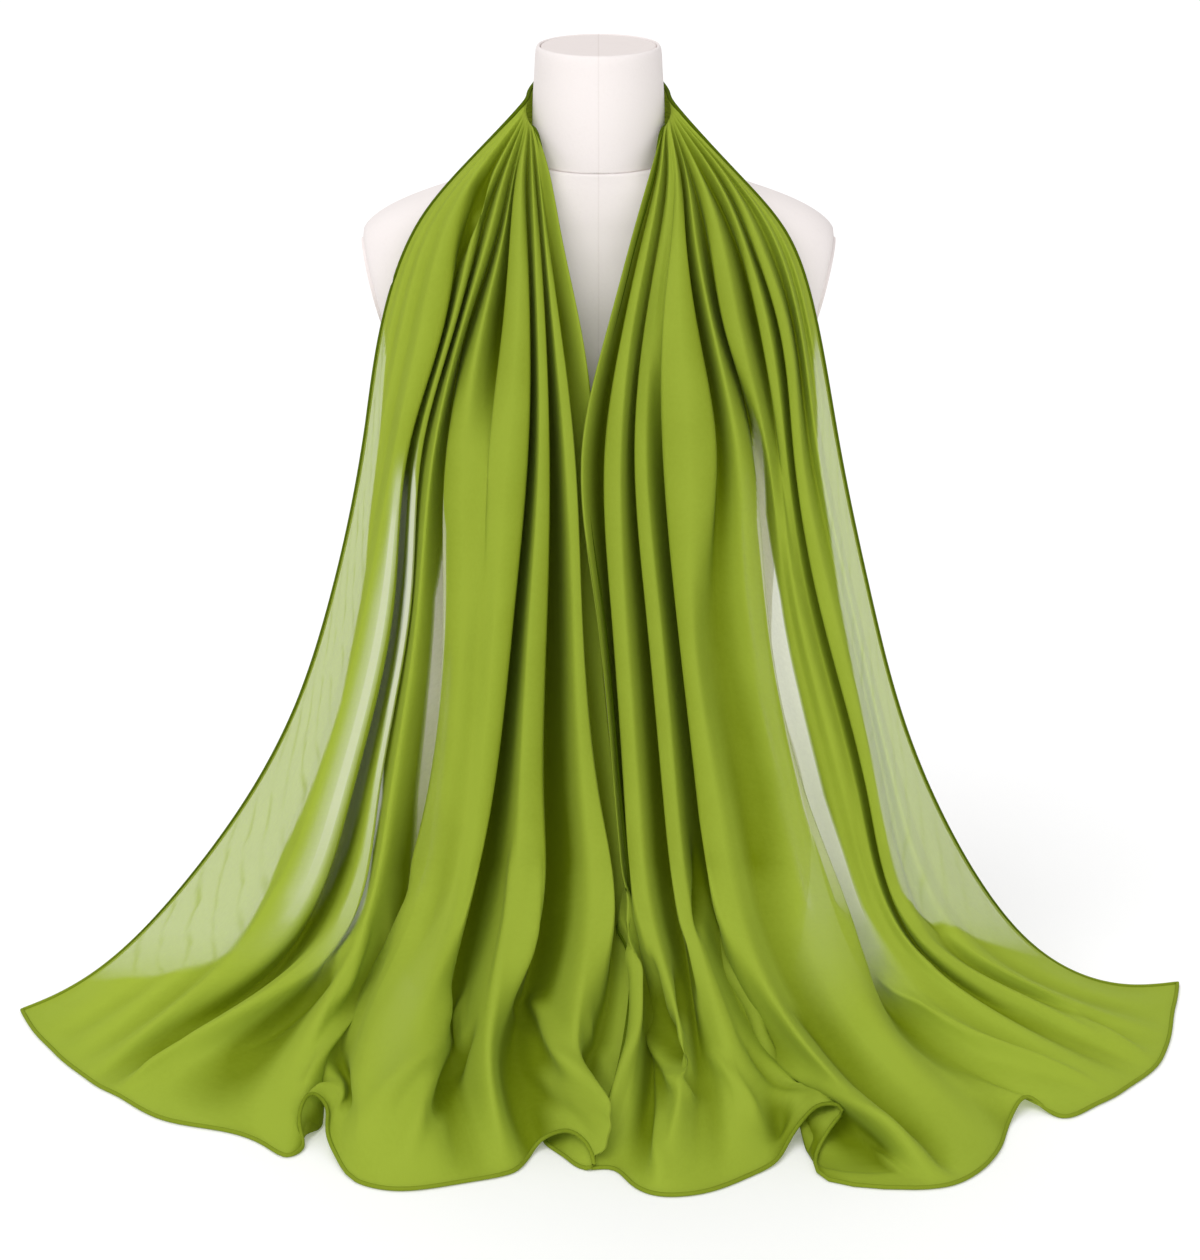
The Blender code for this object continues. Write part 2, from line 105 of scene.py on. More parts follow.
# Fold lines of each fall, from the inner hem to the outer hem, in mm.
#   line, distance from the centre plane at each of FALL_LEVELS, relief at each of RELIEF_LEVELS,
#   tuck at each of RELIEF_LEVELS: how far a slot lies under its outer (+) or inner (-) neighbour
RELIEF_LEVELS = (0, 2, 3, 4, 6)
FLAT = (0, 0, 0, 0, 0)
LEFT_FOLDS = (
    ("inner hem", (41, 29.5, 17, 7, 4, -10, -19), (0, 0, -13, -18, -20), FLAT),
    ("edge roll", (39, 26.5, 13.5, 3, 0, -13, -22), (4, 14, -8, -9, -6), FLAT),
    ("slot 1", (44, 36, 28, 17.5, 12, -2, -12), (0, -9, -11.5, -14, -14), (0.5, 2, 2.5, 3, 3)),
    ("ridge 1", (45.2, 39, 33, 24.5, 18, 9.5, 5), (0.5, 9, 11.5, 14, 14), FLAT),
    ("slot 2", (46.8, 42, 38.5, 35.5, 37, 40, 44), (-4.5, -14, -24.5, -35, -38), (0.5, 2, 3, 4, 5)),
    ("ridge 2", (49.3, 46.5, 44, 43, 50, 58, 65), (3.5, 12, 15, 18, 18), FLAT),
    ("slot 3", (52, 51, 49.5, 50.5, 61, 79, 99), (-4, -15, -24, -33, -34), (0.5, 2, 3, 4, 6)),
    ("ridge 3", (55.5, 57.5, 59, 66.5, 75.5, 90, 106), (5, 14, 17, 20, 20), FLAT),
    ("slot 4", (59, 65, 70, 80, 86.5, 100, 114), (-3, -18, 12, 17, 22), (-1, -5, -2, 0, 0)),
    ("ridge 4", (60.2, 70, 84.5, 98.5, 100, 112, 127), (-1, 14, 17, 20, 18), FLAT),
    ("slot 5", (61.5, 74.5, 93.5, 111, 115, 130, 156), (-4.5, -15, -18.5, -22, -44), (0.5, 1, -2, -5, -9)),
    ("ridge 5", (65, 81, 98.5, 120, 133.5, 156.5, 176), (3.5, 12, 12.5, 13, 10), FLAT),
    ("slot 6", (68.2, 87, 103, 128, 138.5, 165, 187.5), (-4, -13, -11.5, -10, -8), (0.5, 1.5, 1.75, 2, 2)),
    ("ridge 6", (71.5, 92, 107, 132, 142.5, 171, 199), (3.5, 12, 6, 0, 4), FLAT),
    ("slot 7", (76.5, 99.5, 111.5, 138, 151, 186, 226.5), (-6, -16, -25, -34, -32), (0.5, 2, 2.5, 3, 3)),
    ("shoulder fold", (82, 114, 129, 149, 173, 215.5, 259), (4, 15, 13, 11, 6), FLAT),
    ("web 1", (84.5, 121, 137, 156, 180.5, 227.5, 276.5), (3, 7, 4, 2, -6), FLAT),
    ("web 2", (86.5, 126, 143, 161.5, 186, 237, 291), (3, 8, 2, 0, -3), FLAT),
    ("web 3", (88.5, 130, 148, 165.5, 190, 245.5, 307), (1, 3, 0, -1, -4), FLAT),
    ("web 4", (90.5, 133, 152, 168.5, 194, 253.5, 323), (1, 3, 0, -1, -3), FLAT),
    ("web 5", (92.5, 136, 155.5, 171, 197.5, 261.5, 338), (0, 0, 0, -1, -2), FLAT),
    ("outer hem", (94.5, 138.5, 158.5, 173.5, 201, 269, 353.5), FLAT, FLAT),
)
RIGHT_FOLDS = (
    ("inner hem", (42.5, 27, 12, -8, 1.5, 16.5, 25), (-1, 2, 4, 0, -4), FLAT),
    ("edge roll", (41, 24, 7.5, -12, -2.5, 12.5, 21), (3.5, 15, 13, 11, 8), FLAT),
    ("slot 1", (44, 31, 18.5, 4.5, 8.5, 19, 29.5), (-3, -11, -17.5, -24, -30), (0.5, 2, 3, 4, 5)),
    ("ridge 1", (47, 37, 25, 16, 19, 29.5, 40), (4, 11, 13, 15, 16), FLAT),
    ("slot 2", (50, 43.5, 34, 26, 34, 48, 59.5), (-5, -11, -15.5, -20, -18), (0.5, 2, 3.5, 5, 5)),
    ("ridge 2", (52, 48, 40, 34, 44, 58, 70), (3, 2, 8.5, 15, 18), FLAT),
    ("slot 3", (54, 52, 46.5, 46, 56, 73, 89), (2.5, 6, -9.5, -25, -26), (0, 2, 4, 6, 8)),
    ("ridge 3", (56.5, 57.5, 59, 66, 68, 88.5, 105), (4.5, 17, 19.5, 22, 24), FLAT),
    ("slot 4", (60, 64, 72, 86.5, 86, 110.5, 126.5), (-6, -18, -8, 3, 8), (-0.5, -5, -2, 0, 0)),
    ("ridge 4", (62, 70.5, 82, 101.5, 114, 148, 170), (3, 15, 18.5, 22, 18), FLAT),
    ("slot 5", (64, 79, 90, 113.5, 125, 158, 192), (-3, -15, -18.5, -22, -30), (0.5, 2, -1, -4, -5)),
    ("ridge 5", (68.5, 89, 101.5, 122.5, 140, 177.5, 211), (5, 17, 4.5, -8, -10), FLAT),
    ("slot 6", (72.5, 100, 116, 130.5, 147, 187.5, 220.5), (-4.5, -15, -8.5, -2, -6), (0, 2, 1, 0, 0)),
    ("ridge 6", (77, 105.5, 123, 137, 156, 196.5, 227.5), (4, 11, 0.5, -10, 0), FLAT),
    ("slot 7", (81, 110.5, 130.5, 142.5, 163, 203.5, 234), (-3.5, -11, -17.5, -24, -18), (0.5, 2, 2.5, 3, 3)),
    ("ridge 7", (84, 116.5, 137.5, 148.5, 173.5, 211.5, 242.5), (3.5, 13, 8.5, 4, 8), FLAT),
    ("slot 8", (86.5, 124, 142.5, 155, 182, 219.5, 255.5), (-1.5, -10, -7, -4, -10), FLAT),
    ("ridge 8", (88, 129, 147, 161, 189, 228, 271.5), (2, 9, 7, 5, 3), FLAT),
    ("web 1", (89.3, 132.5, 150.5, 165.5, 193, 235.5, 284.5), (1, -2, -1, -1, -4), FLAT),
    ("web 2", (90.3, 135.5, 154, 169.5, 197, 242.5, 299), (1, 3, 0, -1, -3), FLAT),
    ("web 3", (91.4, 138, 157, 173.5, 201, 249.5, 313.5), (0, 0, 0, -1, -3), FLAT),
    ("outer hem", (92.5, 140.5, 160, 177, 204.5, 257, 325), FLAT, FLAT),
)
# Each fold line in turn half way down the skirt, where the cloth turns from hanging to lying, in mm.
#   distance from the centre plane, y, z
LEFT_APRON = (
    (-29, -249, 46), (-20, -256, 55), (2, -250, 50), (15, -285, 72), (63, -241, 44), (80, -286, 68),
    (110, -252, 44), (130, -287, 70), (146, -287, 69), (169, -272, 66), (192, -215, 40), (208, -231, 54),
    (248, -195, 36), (270, -197, 50), (299, -163, 28), (321, -164, 42), (337, -149, 32), (351, -139, 34),
    (365, -126, 29), (381, -112, 28), (395, -96, 24), (410, -69, 18),
)
RIGHT_APRON = (
    (19, -264, 60), (25, -275, 66), (41, -254, 42), (61, -291, 70), (74, -272, 50), (90, -275, 66),
    (132, -240, 42), (146, -277, 70), (173, -255, 52), (208, -245, 62), (237, -202, 36), (270, -197, 42),
    (289, -188, 41), (301, -180, 44), (313, -161, 34), (323, -155, 46), (335, -135, 34), (347, -133, 38),
    (359, -111, 30), (372, -95, 27), (384, -74, 21), (393, -50, 14),
)
# The hem of each end, where the cloth meets the surface, in mm.
#   fold line, distance from the centre plane, y, lift off the surface
LEFT_HEM = (
    (0, -4, -322, 0), (1, 14, -300, 0), (1.7, 34, -294, 0), (2, 39, -302, 0), (2.3, 32, -320, 0),
    (2.6, 20, -339, 0), (2.8, 9, -351, 0), (2.9, 4, -352, 2), (3, 4, -349, 7), (3.2, 9, -341, 15),
    (3.45, 18, -332, 19), (3.75, 33, -321, 13), (4, 43, -318, 5), (4.3, 50, -330, 0), (5, 62, -356, 0),
    (6, 86, -368, 0), (7, 113, -378, 0), (8, 142, -384, 0), (9, 173, -370, 0), (9.3, 188, -341, 4),
    (9.55, 197, -312, 14), (9.8, 201, -291, 25), (10, 209, -288, 29), (10.2, 217, -298, 22),
    (10.4, 217, -306, 8), (10.55, 215, -317, 0), (10.75, 225, -330, 0), (11, 238, -318, 0),
    (11.5, 274, -288, 0), (12, 317, -271, 0), (12.5, 340, -251, 0), (13, 360, -227, 0), (14, 374, -213, 0),
    (15, 386, -197, 0), (16, 398, -180, 0), (17, 409, -163, 0), (18, 420, -143, 0), (19, 431, -123, 0),
    (20, 441, -101, 0), (21, 451, -74, 0),
)
RIGHT_HEM = (
    (0, -6, -351, 0), (1, 8, -350, 0), (2, 23, -373, 0), (3, 40, -391, 0), (4, 72, -389, 0),
    (5, 108, -362, 0), (5.2, 128, -340, 1), (5.35, 139, -316, 7), (5.48, 150, -306, 19),
    (5.58, 163, -306, 29), (5.66, 174, -311, 27), (5.73, 173, -316, 20), (5.79, 165, -322, 12),
    (5.84, 158, -332, 4), (5.88, 156, -346, 1), (5.92, 162, -366, 0), (5.96, 190, -379, 0),
    (6, 225, -382, 0), (7, 249, -377, 0), (8, 267, -362, 0), (9, 294, -307, 0), (9.35, 306, -265, 4),
    (9.7, 318, -251, 9), (10, 329, -255, 3), (10.4, 342, -265, 0), (11, 366, -248, 0), (12, 385, -229, 0),
    (13, 399, -211, 0), (14, 412, -194, 0), (15, 424, -174, 0), (16, 433, -149, 0), (17, 439, -127, 0),
    (18, 444, -103, 0), (19, 449, -76, 0), (20, 455, -49, 0), (21, 460, -22, 0),
)
APRON_LEVEL = 6.5               # half way between the skirt and the hem
# Sheets of cloth on each other in the gathered folds, and in the zones that are thinner, as (level, from
# line, to line, sheets). A count below 1 is a gap that shows the white form through it.
FOLDED_SHEETS = 3.0
LANDING_LEVELS = (5.8, 6.3)     # levels between which the cloth passes from hanging to lying
ZONE_EDGE = 0.16                # width of a zone's soft edge, in fold lines
ZONE_SPREAD = 8.0               # how many times that is added to it where the cloth lies on the surface
ZONE_STARTS, ZONE_ENDS = 0.3, 0.4    # levels over which a zone starts at its top and ends at its foot
THIN_ZONES = {
    "left": (
        ("edge web", (2.0, 20.6, 21.5, 1.4), (2.3, 18.6, 21.5, 1.1), (2.7, 17.7, 21.5, 1),
         (3, 17.1, 21.5, 1), (3.5, 16.4, 21.5, 1), (3.8, 15.7, 21.5, 1), (4.25, 15.4, 21.5, 1),
         (4.5, 15.1, 21.5, 1), (5, 15.4, 21.5, 1), (5.4, 15.7, 21.5, 1), (6, 15.4, 21.5, 1),
         (6.12, 15.3, 21.5, 1.1), (6.24, 17.0, 21.5, 1.3), (6.34, 19.6, 21.5, 1.6), (6.42, 21, 21.5, 2.2)),
        ("beside the shoulder fold", (3.1, 14.5, 14.9, 1.2), (3.5, 14.4, 14.85, 0.9), (4, 14.5, 14.9, 0.9),
         (5, 14.5, 14.9, 0.9), (5.7, 14.5, 14.9, 1), (6.2, 14.5, 14.8, 1.6)),
        ("behind slot 7", (3.3, 13.4, 14.5, 2.1), (4, 13.5, 14.5, 2.2), (5, 13.4, 14.5, 2.3),
         (5.8, 13.8, 14.5, 2.4)),
        ("middle gap", (2.9, 13.0, 13.05, 1.5), (3.2, 12.85, 13.2, 0.9), (3.5, 12.3, 13.2, 0.85),
         (4, 12.5, 13.3, 0.8), (4.5, 12.5, 13.2, 0.85), (5, 11.6, 13.0, 1.0), (5.4, 11.7, 13.0, 1.15),
         (5.8, 11.4, 13.1, 1.35), (6.2, 11.8, 13.0, 1.8)),
        ("inner gap", (2.8, 9.95, 10.0, 1.5), (3.1, 9.7, 10.2, 0.9), (3.5, 9.35, 10.1, 0.7),
         (4, 9.4, 10.48, 0.6), (4.5, 9.5, 10.45, 0.6), (5, 9.6, 10.4, 0.7), (5.4, 9.7, 10.3, 0.9),
         (5.75, 9.9, 10.2, 1.5)),
        ("face behind the inner gap", (4.2, 9.2, 9.45, 1.5), (4.7, 9.15, 9.55, 1.5), (5.2, 9.1, 9.6, 1.5),
         (5.8, 9.2, 9.9, 1.7)),
        ("front lobe", (5.6, 7.6, 9.0, 2.5), (6, 7.2, 8.9, 2.1), (6.3, 7.2, 8.8, 2), (6.6, 7.4, 8.6, 2.3),
         (6.75, 7.6, 8.4, 2.6)),
    ),
    "right": (
        ("edge web", (2.1, 20, 21.5, 1.5), (2.35, 18.5, 21.5, 1.1), (2.7, 18, 21.5, 1), (3, 17, 21.5, 1),
         (3.5, 16.5, 21.5, 1), (4, 15.7, 21.5, 1), (4.4, 15.3, 21.5, 1), (5, 15, 21.5, 1),
         (5.4, 15.1, 21.5, 1), (5.72, 15.1, 21.5, 1), (5.9, 16, 21.5, 1.1), (6.04, 18, 21.5, 1.3),
         (6.16, 20, 21.5, 1.8), (6.22, 21, 21.5, 2.4)),
        ("middle gap", (2.7, 10.6, 10.65, 1.5), (2.95, 10.2, 10.8, 1), (3.25, 9.5, 10.5, 0.7),
         (3.5, 9.3, 10.4, 0.65), (4, 9.4, 10.75, 0.65), (4.5, 9.4, 10.75, 0.7), (5, 9.15, 10.7, 0.8),
         (5.4, 9.2, 10.85, 0.8), (5.8, 9.2, 10.9, 0.9), (6.05, 9.3, 11.1, 1.1), (6.35, 9.8, 10.9, 2.2)),
        ("face before the gap", (3.1, 8.9, 9.3, 2), (4, 8.9, 9.4, 1.8), (5, 8.75, 9.1, 1.8),
         (5.8, 8.8, 9.2, 1.7), (6.3, 8.5, 9.3, 2)),
        ("pale line", (3.4, 8.83, 8.92, 1), (4, 8.84, 8.93, 1), (5, 8.66, 8.76, 1), (5.8, 8.72, 8.84, 1.1),
         (6.25, 8.4, 8.55, 1.3), (6.5, 8.1, 8.25, 2)),
    ),
}
# Creases and pinches, in mm. A sunken one has a height below 0. Its flanks are as wide as this on the left
# and the right of its path, for someone who follows it on the cloth's outer side.
#   crease, height, left flank, right flank, share that fades in, share that fades out, path as (line, level)
CREASES = {
    "left": (
        ("skirt ridge", 11, 10, 26, 0.25, 0.15, (10.9, 5.9), (11.3, 6.05), (12.4, 6.2), (12.6, 6.35),
         (12.8, 6.5), (13, 6.65), (13.1, 6.75), (13.1, 6.9), (13, 7)),
        ("skirt hollow", -12, 12, 12, 0.3, 0.4, (11.2, 6.2), (11.7, 6.25), (12, 6.45), (12.2, 6.6),
         (12.5, 6.7)),
        ("shoulder fold tail", 8, 9, 12, 0.2, 0.5, (14.9, 5), (14.9, 5.35), (15, 5.7), (15, 6), (15, 6.15),
         (14.4, 6.35)),
        ("slot 7 tail", -11, 10, 10, 0.2, 0.4, (13.4, 5.05), (13.8, 5.35), (14.4, 5.7), (14.4, 6.05),
         (14.2, 6.25)),
        ("ridge 5 branch", 10, 10, 9, 0.3, 0.4, (11, 5.85), (10.9, 5.95), (10.8, 6.15), (10.7, 6.3),
         (11, 6.5)),
        ("lobe roll edge", 12, 30, 10, 0.45, 0.05, (9.3, 5.5), (9.6, 5.85), (10, 6.1), (10.3, 6.35),
         (10.5, 6.55), (10.8, 6.8)),
        ("lobe hollow", -12, 14, 15, 0.3, 0.5, (10.7, 6.55), (9.9, 6.65), (9.2, 6.75), (9, 6.85)),
        ("wide face edge", 15, 9, 26, 0.2, 0.3, (6.2, 6.2), (6.4, 6.35), (6.6, 6.5), (6.8, 6.55),
         (7.8, 6.65), (8.3, 6.75), (8.8, 6.8), (9.1, 6.9)),
        ("leaf ridge", 12, 9, 16, 0.3, 0.2, (5.6, 6.15), (5.8, 6.35), (6.6, 6.6), (7.2, 6.8), (8, 6.95)),
        ("leaf hollow", -15, 12, 12, 0.3, 0.3, (5.3, 6.35), (5.5, 6.45), (6.6, 6.7), (7.3, 6.85)),
        ("ridge 3 edge", 9, 8, 20, 0.2, 0.4, (4.7, 5.1), (4.7, 5.85), (4.5, 6.15), (4.5, 6.5)),
        ("ridge 3 tail", 5, 10, 10, 0.2, 0.4, (5.2, 5.15), (5.1, 6.05), (5, 6.55)),
        ("pinch", 19, 9, 18, 0.15, 0.3, (3.9, 6.2), (3.7, 6.3), (3.5, 6.45), (3.2, 6.65), (1.4, 6.8)),
        ("pinch hollow", -19, 11, 10, 0.2, 0.4, (4.4, 6.25), (3.7, 6.35), (3.5, 6.6), (3.3, 6.75)),
        ("leaf edge", 6, 16, 9, 0.2, 0.1, (3.4, 6.3), (1.9, 6.55), (0.9, 6.7), (0, 6.85)),
        ("curl crease", -6, 9, 9, 0.3, 0.2, (4, 6.55), (3.7, 6.8), (2.8, 6.95)),
        ("neck hollow", -12, 11, 13, 0.2, 0.5, (14.8, 0), (13.2, 0.55), (13.5, 0.9), (14.6, 1.3),
         (14.8, 1.7)),
    ),
    "right": (
        ("edge 1 hook", 18, 16, 9, 0.2, 0.2, (1, 5.5), (1.3, 5.9), (1.5, 6), (1.7, 6.25), (2.3, 6.5),
         (2.8, 6.65), (4.5, 6.65)),
        ("edge 1 hollow", -17, 11, 13, 0.3, 0.3, (2.6, 6.05), (2.4, 6.3), (2.5, 6.5), (3.3, 6.6),
         (4.8, 6.65)),
        ("small pinch", 12, 10, 8, 0.2, 0.2, (1.5, 6), (1, 6.15), (1, 6.45), (0.4, 6.65), (0.2, 6.95)),
        ("centre fold side", 11, 9, 11, 0.2, 0.2, (1.4, 6.2), (2.1, 6.45), (2.2, 6.55), (2.6, 6.85),
         (3.3, 7)),
        ("edge 2 hook", -16, 12, 12, 0.2, 0.3, (6.6, 4.95), (5.3, 5.9), (3.7, 6.25), (2.3, 6.55), (3.3, 6.6),
         (4.6, 6.65)),
        ("edge 3 pinch", 18, 18, 13, 0.3, 0.15, (6.4, 5.7), (6, 6), (5.8, 6.25), (5.9, 6.45), (6.2, 6.6),
         (6.6, 6.7), (6.9, 6.8), (7.4, 6.95)),
        ("roll under", -18, 15, 14, 0.45, 0.3, (5.2, 6.4), (5.4, 6.55), (5.5, 6.85), (6, 6.75), (6.8, 6.95)),
        ("roll upper", -10, 12, 16, 0.2, 0.1, (7.3, 6.3), (7.9, 6.4), (7.9, 6.55), (7.8, 6.7), (8.1, 6.85),
         (7.4, 7)),
        ("loop crest", 4, 10, 12, 0.4, 0.05, (5.3, 6.6), (5.5, 6.7), (5.5, 6.85), (5.6, 7)),
        ("hook fold", 8, 10, 8, 0.3, 0.3, (4.1, 6.45), (4.9, 6.6), (5.1, 6.7), (5.2, 6.9)),
        ("long crease 1", 8, 9, 15, 0.1, 0.2, (14.8, 5.85), (16.3, 6), (16.6, 6.2), (16.7, 6.55),
         (15.2, 6.9), (15.5, 7)),
        ("long crease 2", 12, 11, 17, 0.2, 0.3, (9.4, 6.05), (10.7, 6.3), (10.8, 6.45), (11, 6.6), (12, 6.8),
         (12.2, 7)),
        ("web wrinkle 1", 2, 4, 5, 0.4, 0.4, (18.9, 4.2), (17, 4.35), (15.2, 4.5)),
        ("web wrinkle 2", 3, 4, 7, 0.4, 0.4, (19.7, 5.2), (18.6, 5.55), (17.1, 6)),
        ("web wrinkle 3", 3, 4, 6, 0.4, 0.4, (21, 5.5), (20.1, 5.8), (18.7, 6.1)),
        ("olive edge", 5, 10, 9, 0.3, 0.3, (14.8, 5), (15.8, 5.5), (14.6, 6.05), (12.2, 6.3)),
    ),
}
# Points where a curl of the hem pulls the cloth above it out of its smooth run, in mm.
#   fold line, level, distance from the centre plane, y, z, how far its pull reaches in lines and in levels
PINS = {
    "left": (
        (9.7, 6.8, 187, -283, 34, 0.25, 0.1),
        (10.0, 6.8, 197, -268, 30, 0.25, 0.1),
        (10.22, 6.8, 201, -274, 12, 0.2, 0.1),
        (10.45, 6.82, 203, -282, 0, 0.2, 0.1),
        (2.9, 6.72, -9, -338, 44, 0.3, 0.1),
        (2.9, 6.84, -9, -344, 26, 0.3, 0.06),
        (2.92, 6.92, -4, -349, 13, 0.25, 0.05),
    ),
    "right": (
        (5.3, 6.84, 131, -302, 9, 0.12, 0.09),
        (5.48, 6.84, 143, -290, 33, 0.1, 0.09),
        (5.6, 6.84, 155, -285, 38, 0.08, 0.09),
        (5.7, 6.84, 165, -289, 27, 0.08, 0.09),
        (5.8, 6.84, 158, -302, 12, 0.08, 0.09),
        (5.88, 6.84, 150, -322, 1, 0.08, 0.09),
        (5.97, 6.84, 185, -345, 0, 0.1, 0.09),
    ),
}
# Stretches of the skirt above a tight curl of the hem, which is smoothed out of them.
#   side, first line, last line, smoothing passes
CALM_STRETCHES = (("right", 5.2, 6.12, 300), ("left", 9.2, 10.8, 60))
CALM_STARTS, CALM_ENDS = (5.4, 5.8), (6.62, 6.47)    # levels between which the smoothing fades in and out
CALM_SIDES = 0.1                # lines over which it fades in at a stretch's two ends
HEM_HOLD = 0.10                 # levels above the hem over which a pull on the cloth dies away
# A crease's path is cut into PATH_STEPS pieces a point, and averaged over PATH_WINDOW of them.
PATH_STEPS, PATH_WINDOW = 8, 9
BASE_PASSES, LIFT_PASSES = 60, 2    # smoothing of the cloth under the creases, and of the creases
# Columns of the grid in each stretch between two fold lines: most where the hem curls.
#   first line, columns a line from there on
COLUMN_DENSITY = ((0, 10), (2, 15), (5.1, 40), (6, 9), (9.2, 25), (10.8, 11), (13, 8), (16, 7))
# Rows of the grid, by how far they are from the hem, in mm: distance, spacing.
ROW_SPACING = ((0.0, 3.5), (180.0, 3.5), (240.0, 6.4), (700.0, 6.4), (760.0, 4.4), (930.0, 4.4))
WALK_STEPS = 4000               # steps along the cloth's middle in which the rows are counted


def spline_through(stations, values, wanted):
    """Natural cubic spline through rows of values: the bends at the stations solve the tridiagonal system
    that keeps slope and bend continuous, and each span is the cubic with its two ends' values and bends."""
    count = len(stations)
    flat = values.reshape(count, -1)
    gap = np.diff(stations)
    rise = np.diff(flat, axis=0) / gap[:, None]
    system = np.eye(count)
    inner = np.arange(1, count - 1)
    system[inner, inner - 1] = gap[:-1]
    system[inner, inner] = 2.0 * (gap[:-1] + gap[1:])
    system[inner, inner + 1] = gap[1:]
    known = np.zeros_like(flat)
    known[1:-1] = 6.0 * np.diff(rise, axis=0)
    bend = np.linalg.solve(system, known)
    span = np.clip(np.searchsorted(stations, wanted, side="right") - 1, 0, count - 2)
    left = (stations[span + 1] - wanted)[:, None]
    right = (wanted - stations[span])[:, None]
    width = gap[span][:, None]
    curve = (
        bend[span] * left**3 / (6.0 * width)
        + bend[span + 1] * right**3 / (6.0 * width)
        + (flat[span] / width - bend[span] * width / 6.0) * left
        + (flat[span + 1] / width - bend[span + 1] * width / 6.0) * right
    )
    return curve.reshape(len(wanted), *values.shape[1:])


def ease(share):
    """Smooth step: 3s^2 - 2s^3, held at 0 and 1 outside them."""
    held = np.clip(share, 0.0, 1.0)
    return held * held * (3.0 - 2.0 * held)


def eased_between(value, start, end):
    """The smooth step of how far a value has come from start to end."""
    return ease((value - start) / (end - start))


def running_total(steps):
    """What has been passed before the first step and after each."""
    return np.concatenate([[0.0], np.cumsum(steps)])


def pleats(sideways, reliefs, tucks, across):
    """Distance from the centre plane and relief of a section of pleats, on columns given as fold lines.

    Between two lines, down runs from 0 at the higher to 1 at the lower. A soft flank falls by an ease of
    down. A tucked flank keeps its face nearly flat up to EDGE_TURN, passes the slot's place, and then turns
    under by the slot's tuck while it falls."""
    span = np.clip(across.astype(int), 0, len(reliefs) - 2)
    share = across - span
    rising = reliefs[span + 1] > reliefs[span]
    high = np.where(rising, span + 1, span)
    low = np.where(rising, span, span + 1)
    down = np.where(rising, 1.0 - share, share)
    outward = np.where(rising, 1.0, -1.0)
    tucked = np.clip(tucks[low] * outward, 0.0, None)
    drop = reliefs[high] - reliefs[low]
    crisp = ease(tucked / CRISP_TUCK)
    turned = ease((down - EDGE_TURN) / (1.0 - EDGE_TURN))
    fall = (1.0 - crisp) * ease(down) + crisp * (CROWN * down**2 + (1.0 - CROWN) * turned)
    reach = np.sin(0.5 * np.pi * np.clip(down / SLOT_PASSED, 0.0, 1.0))
    run = (1.0 - crisp) * down + crisp * reach
    place = sideways[high] + (sideways[low] - sideways[high]) * run
    back = ease((down - TUCK_START) / (1.0 - TUCK_START))
    place += tucks[low] * np.where(tucked > 0.0, back, down**2)
    return place, reliefs[high] - drop * fall


def band_section(station, across, last_line):
    """One upright section of the gathered band: an arc about the neck's axis with a cosine pleat a line. The
    pleats are of uneven width at the back, and even at the side, where they run into the folds."""
    _, lower, upper, depth, swell = station
    share = across / last_line
    angle = np.radians(lower[0] + (upper[0] - lower[0]) * share)
    height = lower[2] + (upper[2] - lower[2]) * share
    towards_back = np.cos(np.radians(lower[0])) ** 2
    strand = across + BACK_UNEVENNESS * np.sin(BACK_RHYTHM * across) * towards_back
    pleat = swell * np.sin(np.pi * share) - depth * np.cos(np.pi * strand)
    radius = lower[1] + (upper[1] - lower[1]) * share + pleat
    return np.column_stack([radius * np.sin(angle), radius * np.cos(angle), height]) * MM


def fall_section(index, folds, across):
    """One section of a fall: a quarter of a long oval from front to side, with the folds' relief added."""
    _, inner, outer, tilt = FALL_LEVELS[index]
    sideways = np.array([fold[1][index] for fold in folds], float)
    reliefs = np.array([np.interp(index, RELIEF_LEVELS, fold[2]) for fold in folds])
    tucks = np.array([np.interp(index, RELIEF_LEVELS, fold[3]) for fold in folds])
    place, relief = pleats(sideways, reliefs, tucks, across)
    share = (place - sideways[0]) / (sideways[-1] - sideways[0])
    towards_side = 1.0 - (1.0 - np.clip(share, 0.0, 1.0) ** 2) ** SIDE_ROUNDING
    depth = inner[0] + (outer[0] - inner[0]) * towards_side - relief * math.cos(math.radians(tilt))
    height = inner[1] + (outer[1] - inner[1]) * towards_side + relief * math.sin(math.radians(tilt))
    return np.column_stack([place, depth, height]) * MM


def free_section(table, across):
    """A section on a spline through a table's points. The spline runs on the distance from point to point,
    so that a tight curl doesn't overshoot, and each fold line is found between its neighbours."""
    points = np.array(table, float)
    reach = running_total(np.linalg.norm(np.diff(points[:, 1:], axis=0), axis=1))
    curve = spline_through(reach, points[:, 1:], np.interp(across, points[:, 0], reach)) * MM
    curve[:, 2] = np.maximum(curve[:, 2], 0.0) + HEM_RADIUS
    return curve


last_line = len(LEFT_FOLDS) - 1
# Each stretch stops a little short of the next one's first line, so that no column is made twice.
ends = [first for first, _ in COLUMN_DENSITY[1:]] + [last_line]
stretches = [
    np.arange(first, end - 0.1 / count, 1.0 / count) for (first, count), end in zip(COLUMN_DENSITY, ends)
]
across = np.concatenate([*stretches, [last_line]])
halves = []
for side, folds, apron, hem_points in (
    (-1.0, LEFT_FOLDS, LEFT_APRON, LEFT_HEM),
    (1.0, RIGHT_FOLDS, RIGHT_APRON, RIGHT_HEM),
):
    band = [band_section(station, across, last_line) for station in BAND_STATIONS]
    falls = [fall_section(index, folds, across) for index in range(len(FALL_LEVELS))]
    apron_points = [(line, *point) for line, point in enumerate(apron)]
    half = np.array([*band, *falls, free_section(apron_points, across), free_section(hem_points, across)])
    halves.append(half * np.array([side, 1.0, 1.0]))
left_half, right_half = halves
sections = np.concatenate([left_half[::-1], right_half[1:]])
steps = np.linalg.norm(np.diff(sections, axis=0), axis=2).mean(axis=1)
stations = running_total(steps)
